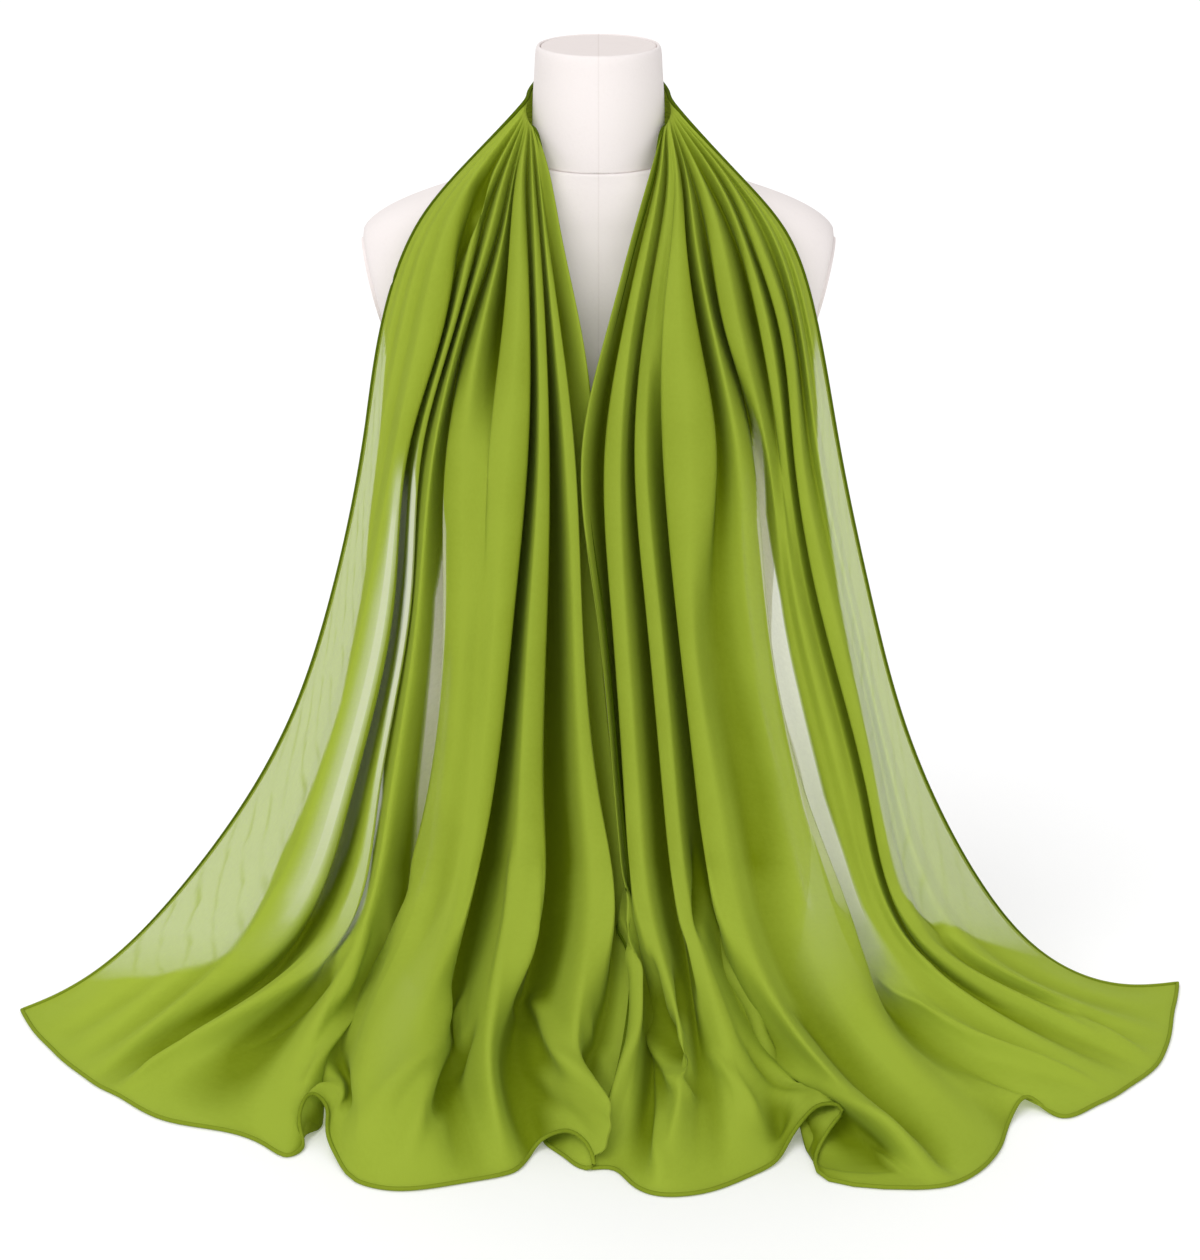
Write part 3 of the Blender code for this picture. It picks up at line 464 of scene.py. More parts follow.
hem_distances, spacings = np.array(ROW_SPACING).T
walk = np.linspace(0.0, stations[-1], WALK_STEPS + 1)
from_hem = np.minimum(walk, stations[-1] - walk) / MM
row_share = np.diff(walk) / MM / np.interp(from_hem[1:], hem_distances, spacings)
rows_passed = running_total(row_share)
row_count = int(round(rows_passed[-1]))
along = np.interp(np.linspace(0.0, rows_passed[-1], row_count + 1), rows_passed, walk)
scarf_grid = spline_through(stations, sections, along)
scarf_grid[:, :, 2] = np.maximum(scarf_grid[:, :, 2], HEM_RADIUS)

# Levels are counted as in FALL_LEVELS, with the hem as the last; the band's are below 0.
half_levels = np.array([*range(-len(BAND_STATIONS), len(FALL_LEVELS)), APRON_LEVEL, len(FALL_LEVELS)])
section_levels = np.concatenate([half_levels[::-1], half_levels[1:]])
row_levels = np.interp(along, stations, section_levels)
is_right = along > 0.5 * stations[-1]
side_rows = {"left": ~is_right, "right": is_right}


def at_line_and_level(grid, side, line, level):
    """The grid's point at a fold line and a level of one side, between its four neighbours."""
    rows = np.flatnonzero(side_rows[side])
    order = rows[np.argsort(row_levels[rows])]
    row = np.interp(level, row_levels[order], order)
    column = np.interp(line, across, np.arange(len(across)))
    low_row, low_column = np.floor(row).astype(int), np.floor(column).astype(int)
    high_row = np.minimum(low_row + 1, len(grid) - 1)
    high_column = np.minimum(low_column + 1, len(across) - 1)
    down, over = (row - low_row)[..., None], (column - low_column)[..., None]
    near = grid[low_row, low_column] * (1 - over) + grid[low_row, high_column] * over
    far = grid[high_row, low_column] * (1 - over) + grid[high_row, high_column] * over
    return near * (1 - down) + far * down


def pulls(lines, levels, pins):
    """How much of each pin's bump a place of the cloth gets: a bell over lines and levels, e to the minus
    square of the distance in reaches, which dies away just above the hem."""
    away = ((lines[..., None] - pins[:, 0]) / pins[:, 5]) ** 2
    away = away + ((levels[..., None] - pins[:, 1]) / pins[:, 6]) ** 2
    return np.exp(-away) * ease((len(FALL_LEVELS) - levels) / HEM_HOLD)[..., None]


def pulled(grid, side):
    """The grid with one side's pins pulled to their places. The bumps' sizes are solved together, so that
    every pin ends on its place."""
    pins = np.array(PINS[side], float)
    lines, levels, places = pins[:, 0], pins[:, 1], pins[:, 2:5] * MM
    places[:, 0] *= 1.0 if side == "right" else -1.0
    places[:, 2] += HEM_RADIUS
    here = at_line_and_level(grid, side, lines, levels)
    sizes = np.linalg.solve(pulls(lines, levels, pins), places - here)
    moved = grid.copy()
    moved[side_rows[side]] += pulls(across, row_levels[side_rows[side]][:, None], pins) @ sizes
    return moved


def softened(grid, passes, axes=(0, 1)):
    """The grid after passes that give each point half of its own value and a quarter of each neighbour's,
    along one axis after the other."""
    soft = grid.copy()
    for axis in axes * passes:
        points = np.moveaxis(soft, axis, 0)
        points[1:-1] = 0.5 * points[1:-1] + 0.25 * (points[2:] + points[:-2])
    return soft


def calmed(grid):
    """The grid with each calm stretch softened across its columns. The soft form is eased in from the
    stretch's ends, from above and from just above the hem."""
    for side, first, last, passes in CALM_STRETCHES:
        columns = np.flatnonzero((across >= first) & (across <= last))
        stretch = grid[:, columns]
        smooth = softened(stretch, passes, axes=(1,))
        upright = eased_between(row_levels, *CALM_STARTS) * eased_between(row_levels, *CALM_ENDS)
        upright *= side_rows[side]
        inside = np.minimum(across[columns] - first, last - across[columns])
        share = upright[:, None] * ease(inside / CALM_SIDES)
        grid[:, columns] = stretch + (smooth - stretch) * share[:, :, None]
    return grid


def outward(grid):
    """Unit normals of the grid, on the cloth's outer side: the cross product of its central differences."""
    normals = np.cross(np.gradient(grid, axis=0), np.gradient(grid, axis=1))
    return normals / np.maximum(np.linalg.norm(normals, axis=2, keepdims=True), 1e-9)


def crease_line(grid, side, path):
    """Points along a crease on the grid: its path cut fine, each point then the mean of those round it."""
    path = np.array(path)
    steps = np.arange(len(path), dtype=float)
    fine = np.linspace(0.0, steps[-1], PATH_STEPS * len(path))
    points = at_line_and_level(grid, side, *(np.interp(fine, steps, column) for column in path.T))
    longer = np.pad(points, ((PATH_WINDOW // 2,) * 2, (0, 0)), mode="edge")
    return np.stack([longer[i : i + len(points)] for i in range(PATH_WINDOW)]).mean(axis=0)


def creased(grid):
    """The grid with every crease raised along the normals of its smoothed self. Across a crease the height
    falls off as the square of what is left of the flank, which keeps its line sharp, and at its ends it fades
    by an ease."""
    normals = outward(softened(grid, BASE_PASSES))
    lift = np.zeros(grid.shape[:2])
    rows = [(side, crease) for side in CREASES for crease in CREASES[side]]
    for side, (_, height, left, right, fade_in, fade_out, *path) in rows:
        line = crease_line(grid, side, path)
        reach = max(left, right) * MM
        inside = (grid > line.min(axis=0) - reach) & (grid < line.max(axis=0) + reach)
        near = side_rows[side][:, None] & inside.all(axis=2)
        spots, spot_normals = grid[near], normals[near]
        starts, ways = line[:-1], np.diff(line, axis=0)
        lengths = np.linalg.norm(ways, axis=1)
        passed = running_total(lengths)
        best = np.full(len(spots), np.inf)
        share, leaning = np.zeros(len(spots)), np.zeros(len(spots))
        for start, way, length, before in zip(starts, ways, lengths, passed):
            offset = spots - start
            part = np.clip(offset @ way / length**2, 0.0, 1.0)
            away = offset - part[:, None] * way
            distance = np.linalg.norm(away, axis=1)
            closer = distance < best
            best = np.where(closer, distance, best)
            share = np.where(closer, (before + part * length) / passed[-1], share)
            leftwards = (np.cross(spot_normals, way) * away).sum(axis=1)
            leaning = np.where(closer, leftwards, leaning)
        flank = np.where(leaning > 0.0, left, right) * MM
        falloff = np.clip(1.0 - best / flank, 0.0, 1.0) ** 2
        fade = ease(share / fade_in) * ease((1.0 - share) / fade_out)
        lift[near] += height * MM * falloff * fade
    return grid + softened(lift, LIFT_PASSES)[:, :, None] * normals


scarf_grid = creased(calmed(pulled(pulled(scarf_grid, "left"), "right")))
scarf_grid[:, :, 2] = np.maximum(scarf_grid[:, :, 2], HEM_RADIUS)


def zone_sheets(levels, side):
    """Sheets of cloth on a grid of levels by columns: each thin zone's own count inside its two lines and its
    first and last level, eased into the folds round it."""
    counts = np.full((len(levels), len(across)), FOLDED_SHEETS)
    edge = (ZONE_EDGE * (1.0 + ZONE_SPREAD * eased_between(levels, *LANDING_LEVELS)))[:, None]
    for _, *rows in THIN_ZONES[side]:
        known, first, last, sheets = np.array(rows).T
        first, last, sheets = (np.interp(levels, known, values) for values in (first, last, sheets))
        inside = ease((levels - known[0]) / ZONE_STARTS + 0.5) * ease((known[-1] - levels) / ZONE_ENDS + 0.5)
        inside = inside[:, None] * ease((across - first[:, None]) / edge + 0.5)
        inside *= ease((last[:, None] - across) / edge + 0.5)
        counts += (sheets[:, None] - counts) * inside
    return counts


# Painted shade, partly also the deeper green of cloth lying in more sheets: the green is darkened in slots
# and hollows.
# How far below the faces next to it a slot is at its darkest, as (level, depth in mm). On the skirt the
# hollows do that, which are measured against the cloth smoothed by HOLLOW_PASSES.
DARKEST = ((0.0, 9.0), (1.0, 18.0), (2.0, 26.0), (4.0, 40.0), (5.5, 48.0), (6.2, 400.0))
NECK_FADE = 1.4                 # levels above the shoulder over which the slots' shade dies away
HOLLOW_PASSES = 160
HOLLOW_DEPTH = 7.0 * MM         # how far below it a full hollow is
DEEPEST_HOLLOW = 1.2            # the most that counts, in full hollows
HOLLOW_SHADE, LYING_SHADE = 0.4, 0.35    # shade of a full hollow, and what is added where the cloth lies
LYING_LEVELS = (4.5, 6.0)       # levels between which that grows from none to all
# Light comes through where the cloth is thin, which takes this share of the painted shade away.
THIN_FADE = 0.8
THIN_SHEETS = (2.1, 1.1)        # sheets between which that grows from none to all


def fold_depth(levels, folds):
    """How deep in a fold the cloth lies, from 0 on a face to 1 at the darkest: what a line's relief lacks to
    the mean of its two neighbours', over the darkest depth at its level."""
    held = np.clip(levels, 0.0, len(FALL_LEVELS) - 1.0)
    reliefs = np.array([np.interp(held, RELIEF_LEVELS, fold[2]) for fold in folds]).T
    crest = reliefs.copy()
    crest[:, 1:-1] = np.maximum(0.5 * (reliefs[:, :-2] + reliefs[:, 2:]), reliefs[:, 1:-1])
    depths = np.array([np.interp(across, np.arange(len(folds)), below) for below in crest - reliefs])
    return depths * (ease(levels / NECK_FADE + 1.0) / np.interp(levels, *np.array(DARKEST).T))[:, None]


on_right = is_right[:, None]
sheets = np.where(on_right, zone_sheets(row_levels, "right"), zone_sheets(row_levels, "left"))
shade = np.where(on_right, fold_depth(row_levels, RIGHT_FOLDS), fold_depth(row_levels, LEFT_FOLDS))
flattened = softened(scarf_grid, HOLLOW_PASSES)
sunk = ((flattened - scarf_grid) * outward(flattened)).sum(axis=2) / HOLLOW_DEPTH
lying = eased_between(row_levels, *LYING_LEVELS)[:, None]
# The painted shade grows in the hollows, and grows more where the cloth lies on the surface.
shade = shade + np.clip(sunk, 0.0, DEEPEST_HOLLOW) * (HOLLOW_SHADE + LYING_SHADE * lying)
shade *= 1.0 - THIN_FADE * eased_between(sheets, *THIN_SHEETS)


def grid_object(name, grid, closed_across=False, uv=None, fields=None, caps=()):
    """A mesh of four-sided faces on a grid of points, joined round where closed_across, with a UV map, with
    named values at its points and with a flat face over each row of points in caps."""
    rows, columns = grid.shape[:2]
    corner = np.arange(rows * columns).reshape(rows, columns)
    if closed_across:
        corner = np.concatenate([corner, corner[:, :1]], axis=1)
    around = [corner[:-1, :-1], corner[1:, :-1], corner[1:, 1:], corner[:-1, 1:]]
    faces = np.stack(around, axis=-1).reshape(-1, 4)
    mesh = bpy.data.meshes.new(name)
    mesh.vertices.add(rows * columns)
    mesh.vertices.foreach_set("co", grid.reshape(-1).astype(np.float32))
    loops = np.concatenate([faces.reshape(-1), *[corner[row, :columns][::turn] for row, turn in caps]])
    sizes = np.array([4] * len(faces) + [columns] * len(caps))
    mesh.loops.add(len(loops))
    mesh.loops.foreach_set("vertex_index", loops.astype(np.int32))
    mesh.polygons.add(len(sizes))
    mesh.polygons.foreach_set("loop_start", (np.cumsum(sizes) - sizes).astype(np.int32))
    mesh.update(calc_edges=True)
    mesh.validate()
    mesh.shade_smooth()
    if uv is not None:
        layer = mesh.uv_layers.new(name="cloth")
        layer.data.foreach_set("uv", uv.reshape(-1, 2)[faces.reshape(-1)].reshape(-1).astype(np.float32))
    for field, values in (fields or {}).items():
        layer = mesh.attributes.new(field, "FLOAT", "POINT")
        layer.data.foreach_set("value", values.reshape(-1).astype(np.float32))
    return placed(name, mesh)


cloth_uv = np.stack(np.meshgrid(across / last_line * SCARF_WIDTH, along / along[-1] * SCARF_LENGTH), axis=-1)
# The webs that wrinkle lie along the outer edges: the sheets and fold lines between which the cloth turns
# into one, and how much the right one wrinkles beside the left.
WEB_SHEETS = (1.7, 1.2)
WEB_LINES = (14.9, 16.1)
RIGHT_WRINKLING = 0.5
web = eased_between(sheets, *WEB_SHEETS) * eased_between(across, *WEB_LINES)
web *= np.where(on_right, RIGHT_WRINKLING, 1.0)
cloth_fields = {"sheets": sheets, "shade": shade, "web": web}
scarf = grid_object("scarf", scarf_grid, uv=cloth_uv, fields=cloth_fields)


class Term:
    """A socket of a shader node that makes Math nodes of the arithmetic it is used in."""

    def __init__(self, tree, socket):
        self.tree = tree
        self.socket = socket

    def math(self, operation, other=0.0, reflected=False):
        """A Math node of this term and another, in turned order where reflected."""
        node = self.tree.nodes.new("ShaderNodeMath")
        node.operation = operation
        for value, socket in zip((other, self) if reflected else (self, other), node.inputs):
            if isinstance(value, Term):
                self.tree.links.new(value.socket, socket)
            else:
                socket.default_value = value
        return Term(self.tree, node.outputs[0])

    __add__ = __radd__ = lambda self, other: self.math("ADD", other)
    __mul__ = __rmul__ = lambda self, other: self.math("MULTIPLY", other)
    __sub__ = lambda self, other: self.math("SUBTRACT", other)
    __rsub__ = lambda self, other: self.math("SUBTRACT", other, reflected=True)
    __pow__ = lambda self, other: self.math("POWER", other)
    __rpow__ = lambda self, other: self.math("POWER", other, reflected=True)


class Nodes:
    """A tree of shader nodes. The method node adds any node but a Math node, and the methods after it call it
    for the nodes that most finishes have."""

    def __init__(self, tree):
        self.tree = tree

    def give(self, node, **sockets):
        """Gives a node's sockets values or links. A socket's name is written with _ for a space, and its
        number with _ before it."""
        for key, value in sockets.items():
            socket = node.inputs[int(key[1:])] if key[0] == "_" else node.inputs[key.replace("_", " ")]
            value = value.socket if isinstance(value, Term) else value
            if isinstance(value, bpy.types.NodeSocket):
                self.tree.links.new(value, socket)
            else:
                socket.default_value = value
        return node

    def node(self, kind, settings=None, **sockets):
        """Adds a node, makes its settings and then gives its sockets what is named."""
        made = self.tree.nodes.new(kind)
        for key, value in (settings or {}).items():
            setattr(made, key, value)
        return self.give(made, **sockets)

    def field(self, name):
        """The values that a mesh has at its points under this name."""
        return Term(self.tree, self.node("ShaderNodeAttribute", {"attribute_name": name}).outputs["Fac"])

    def axes(self, place):
        """The x, y and z of a place."""
        parts = self.node("ShaderNodeSeparateXYZ", Vector=place).outputs
        return [Term(self.tree, part) for part in parts]

    def noise(self, place, scale, detail, roughness=0.5):
        """Even noise about 0.5, with this many bumps a metre."""
        made = self.node("ShaderNodeTexNoise", Vector=place, Scale=scale, Detail=detail, Roughness=roughness)
        return Term(self.tree, made.outputs["Fac"])

    def mix(self, share, low, high):
        """A colour between two, by a share that is held between 0 and 1."""
        low, high = [(*end, 1.0) if isinstance(end, tuple) else end for end in (low, high)]
        settings = {"data_type": "RGBA", "clamp_factor": True}
        return self.node("ShaderNodeMix", settings, _0=share, _6=low, _7=high).outputs[2]


class Finish(Nodes):
    """A new material and its Principled shader, with what is the same all over its surface."""

    def __init__(self, name, colour, roughness, **steady):
        self.material = bpy.data.materials.new(name)
        self.material.use_nodes = True
        super().__init__(self.material.node_tree)
        self.shader = self.tree.nodes["Principled BSDF"]
        self.output = self.tree.nodes["Material Output"]
        self.give(self.shader, Base_Color=(*colour, 1.0), Roughness=roughness, **steady)

    def bump(self, strength, distance, height):
        """Bumps on the shader's surface, of at most this distance."""
        made = self.node("ShaderNodeBump", Strength=strength, Distance=distance, Height=height)
        self.give(self.shader, Normal=made.outputs["Normal"])


CHIFFON_GREEN = (0.385, 0.49, 0.048)
# The dark end of the painted shade in folds and wrinkles, and of the random mottle.
SHADE_AND_MOTTLE_GREEN = (0.185, 0.245, 0.003)
# Painted light: where the cloth is thinner than one sheet its green is painted paler, as if lit from behind.
BACKLIT_PALE_GREEN = (0.86, 0.87, 0.60)
BACKLIT_PALING = 2.3                    # how fast the green pales as the count of sheets falls below 1
SHEET_COVER = 0.73              # share of the light that one sheet stops
FOLD_COVER = 1.025              # what that is times, so that folded cloth lets nothing through
PASSED_ON = 0.3                 # share of the light from behind among all that a sheet sends out
WRINKLE_COUNT = 30.0            # wrinkles a metre of the cloth's length
WRINKLE_SLANT = 22.0            # and a metre of its width
WRINKLE_WANDER = 0.9            # how far the cloudy noise moves them, in wrinkles
WRINKLE_SHARPNESS = 9.0
WRINKLE_START = 0.35            # cloudy noise above which there are any
WRINKLE_SHEETS, MOTTLE_SHEETS = 1.3, 0.25    # sheets that a wrinkle and the fine mottle add
THREADS = 1400.0                # threads a metre, warp and weft
chiffon = Finish(
    "chiffon",
    CHIFFON_GREEN,
    0.62,
    Sheen_Weight=0.08,
    Sheen_Tint=(0.75, 0.9, 0.35, 1.0),
    Sheen_Roughness=0.4,
    Specular_IOR_Level=0.08,
)
sheets_here, shade_here, web_here = (chiffon.field(name) for name in cloth_fields)
cloth_map = chiffon.node("ShaderNodeUVMap", {"uv_map": "cloth"}).outputs["UV"]
width_here, length_here, _ = chiffon.axes(cloth_map)
mottle = chiffon.noise(cloth_map, 260.0, 3.0, 0.7)
cloud = chiffon.noise(cloth_map, 22.0, 2.0)
# The single web along each outer edge is drawn into short slanting wrinkles, where it lies double.
from_nape = (length_here - 0.5 * SCARF_LENGTH).math("ABSOLUTE")
wave = (from_nape * WRINKLE_COUNT + width_here * WRINKLE_SLANT + cloud * WRINKLE_WANDER) * (2.0 * math.pi)
wrinkle = (wave.math("SINE") * 0.5 + 0.5) ** WRINKLE_SHARPNESS
wrinkle = wrinkle * web_here * (cloud - WRINKLE_START).math("MAXIMUM", 0.0)
sheets_there = sheets_here + wrinkle * WRINKLE_SHEETS + (mottle - 0.5) * MOTTLE_SHEETS
covering = ((1.0 - (1.0 - SHEET_COVER) ** sheets_there) * FOLD_COVER).math("MINIMUM", 1.0)
# Painted shade deepens the green in the hollows and wrinkles, where the cloth also lies in more sheets, and
# random cloud and mottle vary it a little everywhere.
painted_shade_and_mottle = shade_here * 0.9 + wrinkle * 0.5 + (0.5 - cloud) * 0.25 + (0.5 - mottle) * 0.22
green = chiffon.mix(painted_shade_and_mottle, CHIFFON_GREEN, SHADE_AND_MOTTLE_GREEN)
# Painted light from behind pales the green where there is less than one sheet.
green = chiffon.mix((1.0 - sheets_here) * BACKLIT_PALING, green, BACKLIT_PALE_GREEN)
chiffon.give(chiffon.shader, Alpha=covering, Base_Color=green)
warp, weft = [(place * (2.0 * math.pi * THREADS)).math("SINE") for place in (width_here, length_here)]
chiffon.bump(0.25, 0.08 * MM, warp * 0.5 + weft * 0.5 + mottle * 2.0)
# A sheet passes a share of the light that it doesn't reflect on to the folds behind it.
through = chiffon.node("ShaderNodeBsdfTranslucent", Color=green).outputs[0]
clear = chiffon.node("ShaderNodeBsdfTransparent").outputs[0]
glow = chiffon.node("ShaderNodeMixShader", _0=covering, _1=clear, _2=through).outputs[0]
cloth = chiffon.node("ShaderNodeMixShader", _0=PASSED_ON, _1=chiffon.shader.outputs[0], _2=glow)
chiffon.give(chiffon.output, Surface=cloth.outputs[0])
scarf.data.materials.append(chiffon.material)
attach(scarf, "root")
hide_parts("scarf_left_fall", "scarf_right_fall", "scarf_nape")

# ---------------------------------------------------------------- rolled hem
# The scarf's four edges are each rolled inwards into a cord as thin as a grass stem. It is overlocked all the
# way round with green thread, which shows darker than the cloth.
HEM_SIDES = 8
STEADY_UP = (0.31, 0.17, 0.93)  # a direction that no stretch of the edges runs in


def full_turn(count):
    """Even angles round a circle."""
    return np.linspace(0.0, 2.0 * np.pi, count, endpoint=False)


def tube(path, radius, sides):
    """Rings of points round a closed path: each ring lies square to the path, on two axes made from the
    path's direction and a steady upward one."""
    ahead = np.roll(path, -1, axis=0) - np.roll(path, 1, axis=0)
    ahead /= np.linalg.norm(ahead, axis=1, keepdims=True)
    first = np.cross(ahead, STEADY_UP)
    first /= np.linalg.norm(first, axis=1, keepdims=True)
    second = np.cross(ahead, first)
    turn = full_turn(sides)[None, :, None]
    ring = np.cos(turn) * first[:, None] + np.sin(turn) * second[:, None]
    return path[:, None] + radius * ring


edge = np.concatenate([scarf_grid[0, :-1], scarf_grid[:-1, -1], scarf_grid[-1, :0:-1], scarf_grid[:0:-1, 0]])
rings = tube(edge, HEM_RADIUS, HEM_SIDES)
hem = grid_object("rolled_hem", np.concatenate([rings, rings[:1]])[:, ::-1], closed_across=True)
HEM_GREEN = (0.075, 0.115, 0.001)
# The cord's painted lit colour near the surface.
LIT_HEM_GREEN = (0.21, 0.275, 0.018)
LIT_AT_SURFACE, LIT_FALL = 1.1, 14.0    # how lit the cord is at the surface, and how much less a metre up
STITCHES = 700.0                # overlock stitches a metre
hem_thread = Finish("hem_thread", HEM_GREEN, 0.9, Specular_IOR_Level=0.08)
hem_place = hem_thread.node("ShaderNodeTexCoord").outputs["Object"]
_, _, hem_height = hem_thread.axes(hem_place)
hem_grain = hem_thread.noise(hem_place, STITCHES, 1.0)
# Painted light: the cord's green is painted lighter near the surface, as if lit by the white floor, with the
# stitches' random grain on it.
hem_lit = LIT_AT_SURFACE - hem_height * LIT_FALL + (hem_grain - 0.5) * 0.5
hem_thread.give(hem_thread.shader, Base_Color=hem_thread.mix(hem_lit, HEM_GREEN, LIT_HEM_GREEN))
hem_thread.bump(0.5, 0.2 * MM, hem_grain)
hem.data.materials.append(hem_thread.material)
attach(hem, "root")

# ---------------------------------------------------------------- dress form
# A moulded half body with a flat base, covered in white stretch cloth that is seamed down the centre and
# round the neck, with a painted board set into the top of the neck.
COVER_WHITE = (0.86, 0.80, 0.785)
COVER_SHADE = (0.66, 0.59, 0.56)
CAP_WHITE = (0.80, 0.73, 0.71)
CAP_SHADE = (0.62, 0.54, 0.51)
SEAM_HALF_WIDTH = 0.8 * MM


def form_finish(name, light, dark, seam_strength, weave_scale, weave_depth):
    """A matt white: a mottled weave, and a stitched seam where the form's middle plane cuts its surface."""
    finish = Finish(name, light, 0.85, Specular_IOR_Level=0.2)
    place = finish.node("ShaderNodeTexCoord").outputs["Object"]
    sideways, _, _ = finish.axes(place)
    fine = finish.noise(place, weave_scale, 3.0, 0.6)
    broad = finish.noise(place, 14.0, 2.0)
    seam = (1.0 - sideways.math("ABSOLUTE") * (1.0 / SEAM_HALF_WIDTH)).math("MAXIMUM", 0.0)
    dark_share = seam * seam_strength + (fine - 0.5) * 0.28 + (broad - 0.5) * 0.16
    finish.give(finish.shader, Base_Color=finish.mix(dark_share, light, dark))
    finish.bump(0.5, weave_depth, fine - seam * 0.6)
    return finish.material


cover = form_finish("form_cover", COVER_WHITE, COVER_SHADE, 0.3, 420.0, 0.25 * MM)
cap_paint = form_finish("form_cap", CAP_WHITE, CAP_SHADE, 0.4, 160.0, 0.2 * MM)
for node in ("form_arm_plate_left", "form_arm_plate_right", "form_neck_cap"):
    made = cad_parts[node]
    made.data.materials.clear()
    made.data.materials.append(cap_paint if node == "form_neck_cap" else cover)

# Horizontal sections of the torso, in mm: height, half width, front (towards -Y), back (towards +Y).
TORSO_SECTIONS = (
    (0, 150, 86, 86), (12, 156, 90, 94), (50, 164, 92, 108), (110, 168, 96, 114),
    (180, 157, 90, 103), (255, 137, 81, 83), (330, 135, 86, 81), (400, 139, 98, 86),
    (455, 143, 106, 92), (496, 147.5, 102, 97), (524, 160, 95, 99), (551, 174, 86, 98),
    (574, 182, 79, 95), (597, 182, 70, 87), (606, 178.8, 66.8, 82.8), (613, 174, 64.3, 79.3),
    (619, 167, 62.2, 76.3), (626, 155, 60.2, 73), (635, 133, 57.5, 68), (643, 109, 55, 63),
    (650, 86, 53, 58.5), (656, 66, 51.5, 54.5), (661.7, 52.5, 50.5, 51.5),
)
# The neck's side from its foot up, over its rim and into the seat of the cap, in mm: radius, height.
NECK_SIDE = (
    (50.3, 662), (49.7, 674.5), (49.4, 692.5), (48.6, 714.5), (47.4, 734.5), (46.8, 743.5),
    (46.2, 746.5), (45.4, 748), (44.5, 748.5), (43.9, 748.2), (43.4, 747), (43.2, 744.7), (42.6, 744.5),
    (20, 744.5),
)
FORM_COLUMNS = 160
TORSO_ROWS = 180
NECK_ROWS = 90
TORSO_SQUARENESS = 2.3          # exponent of the super-ellipse sections
ARM_CUT = (166.3, 564.4)        # a point of the plane that ends the shoulder: distance out, height, in mm
ARM_CUT_TILT = math.radians(14.0)
ARM_CUT_FOOT, ARM_CUT_END = 500.0, 460.0    # heights between which the plane lets the torso go, in mm
ARM_CUT_CLEAR = 200.0           # how far out the plane is then, in mm
CUT_ROUNDING = 1.2              # how softly the shoulder rolls into its flat end, in mm


def along_table(table, rows):
    """A table of points as a spline on the distance from point to point, cut into even steps."""
    points = np.array(table, float)
    reach = running_total(np.linalg.norm(np.diff(points, axis=0), axis=1))
    return spline_through(reach, points, np.linspace(0.0, reach[-1], rows))


def torso_grid():
    """Super-ellipses whose front and back depths differ. Past the plane that ends a shoulder, the width is
    held at the plane by a soft minimum; below the plane's foot it is let go again by an ease."""
    height, half_width, front, back = along_table(TORSO_SECTIONS, TORSO_ROWS).T[:, :, None]
    turn = full_turn(FORM_COLUMNS)[None]
    power = 2.0 / TORSO_SQUARENESS
    sideways = half_width * np.sign(np.cos(turn)) * np.abs(np.cos(turn)) ** power
    depth = np.sign(np.sin(turn)) * np.abs(np.sin(turn)) ** power
    depth = np.where(depth > 0.0, depth * back, depth * front)
    plane = ARM_CUT[0] + (height - ARM_CUT[1]) * math.tan(ARM_CUT_TILT)
    plane += ARM_CUT_CLEAR * eased_between(height, ARM_CUT_FOOT, ARM_CUT_END)
    past = np.abs(sideways) - plane
    sideways -= np.sign(sideways) * CUT_ROUNDING * np.logaddexp(0.0, past / CUT_ROUNDING)
    return np.stack([sideways, depth, np.broadcast_to(height, depth.shape)], axis=-1) * MM


def neck_grid():
    """The neck's side turned about the upright axis."""
    radius, height = along_table(NECK_SIDE, NECK_ROWS).T[:, :, None]
    turn = full_turn(FORM_COLUMNS)[None]
    places = np.broadcast_arrays(radius * np.cos(turn), radius * np.sin(turn), height)
    return np.stack(places, axis=-1) * MM


for name, grid, node in (("torso", torso_grid(), "form_torso"), ("neck", neck_grid(), "form_neck")):
    body = grid_object(name, grid[::-1], closed_across=True, caps=((0, 1), (-1, -1)))
    body.data.materials.append(cover)
    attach(body, "root")
    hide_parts(node)

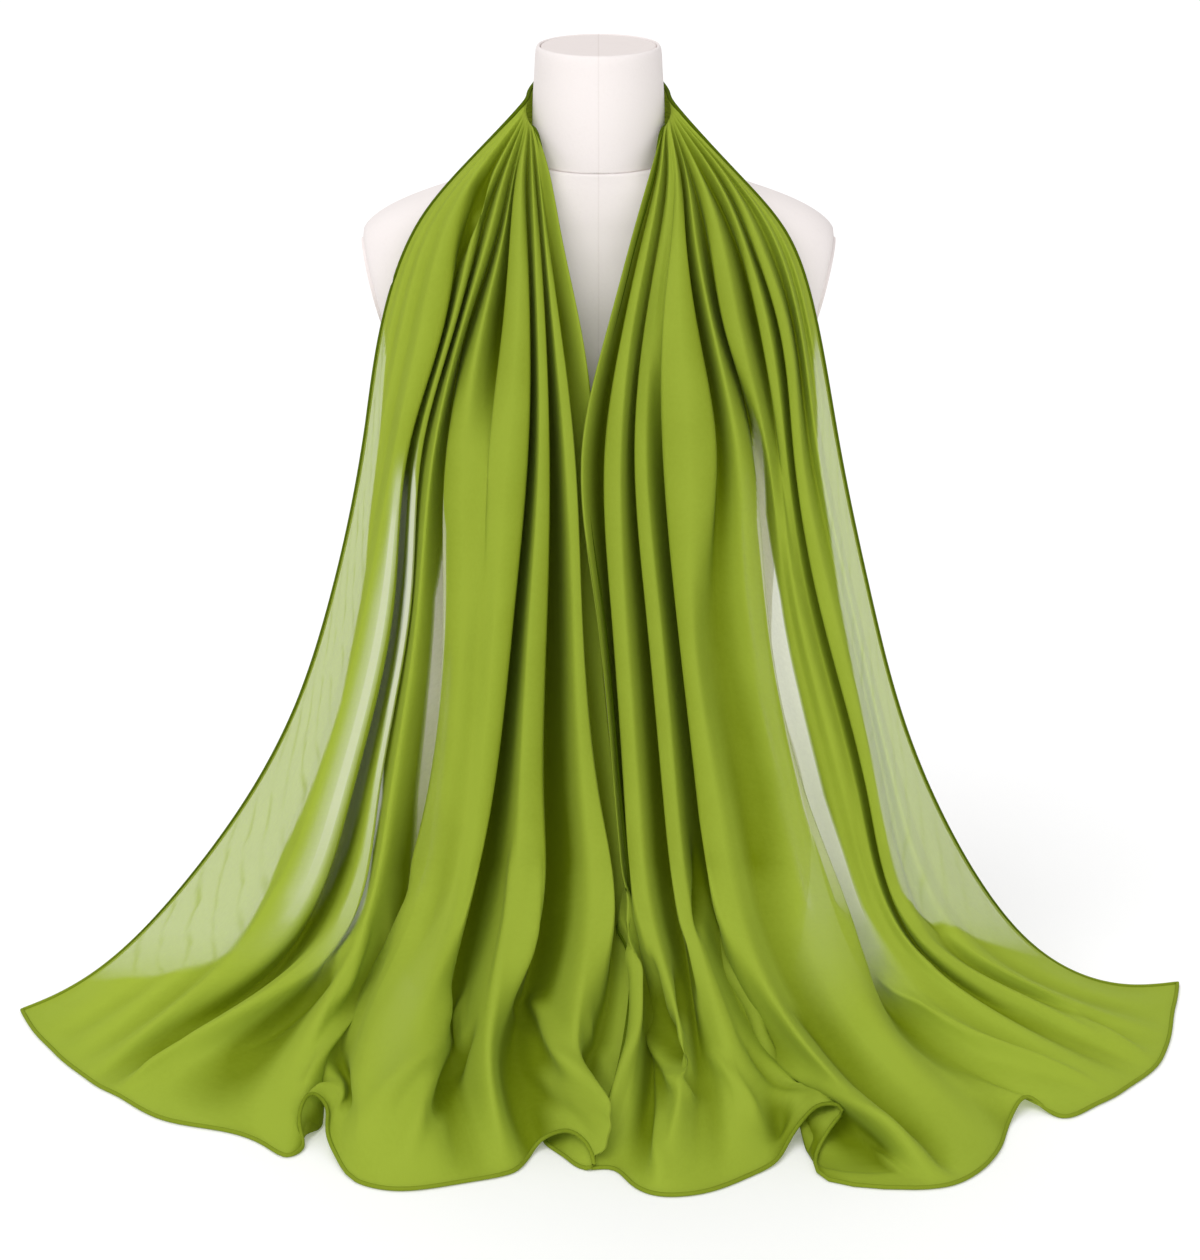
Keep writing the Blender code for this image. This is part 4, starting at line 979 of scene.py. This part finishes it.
# ---------------------------------------------------------------- floor and light
# A seamless white studio floor that runs on into the backdrop. The light is even and soft from all round,
# with three wide lamps: the strongest from the left, one from the right and one from behind.
FLOOR_REACH = 30.0
FLOOR_DROP = 0.3 * MM           # gap under the form's base, which keeps the two faces apart
CORNERS = ((-1, -1), (1, -1), (1, 1), (-1, 1))
floor_mesh = bpy.data.meshes.new("floor")
floor_corners = [(x * FLOOR_REACH, y * FLOOR_REACH, -FLOOR_DROP) for x, y in CORNERS]
floor_mesh.from_pydata(floor_corners, [], [(0, 1, 2, 3)])
floor = placed("floor", floor_mesh)
floor_white = Finish(
    "floor_white",
    (0.87, 0.87, 0.87),
    0.9,
    Emission_Color=(1.0, 1.0, 1.0, 1.0),
    Emission_Strength=0.165,
    Specular_IOR_Level=0.0,
)
floor_place = floor_white.node("ShaderNodeTexCoord").outputs["Object"]
floor_grain = floor_white.noise(floor_place, 6.0, 2.0)
floor_tint = floor_white.mix(floor_grain, (0.866, 0.866, 0.866), (0.878, 0.878, 0.878))
floor_white.give(floor_white.shader, Base_Color=floor_tint)
floor_mesh.materials.append(floor_white.material)

ROOM_LIGHT = 0.42               # strength of the light from all round, under a backdrop of 1
world = bpy.data.worlds.new("studio")
world.use_nodes = True
studio = Nodes(world.node_tree)
backdrop = Term(studio.tree, studio.node("ShaderNodeLightPath").outputs["Is Camera Ray"])
brightness = backdrop * (1.0 - ROOM_LIGHT) + ROOM_LIGHT
studio.give(studio.tree.nodes["Background"], Color=(1.0, 1.0, 1.0, 1.0), Strength=brightness)
bpy.context.scene.world = world
#   light, direction that it comes from, spread in degrees, strength
for name, source, spread, strength in (
    ("key", (-0.34, -0.50, 0.79), 48.0, 1.45),
    ("fill", (0.30, -0.90, 0.32), 60.0, 0.82),
    ("back", (-0.15, 0.62, 0.77), 45.0, 0.7),
):
    lamp = bpy.data.lights.new(name, "SUN")
    lamp.angle = math.radians(spread)
    lamp.energy = strength
    tilt = math.acos(source[2] / math.hypot(*source))
    placed(name, lamp).rotation_euler = (tilt, 0.0, math.atan2(source[0], -source[1]))
bpy.context.scene.view_settings.view_transform = "Standard"
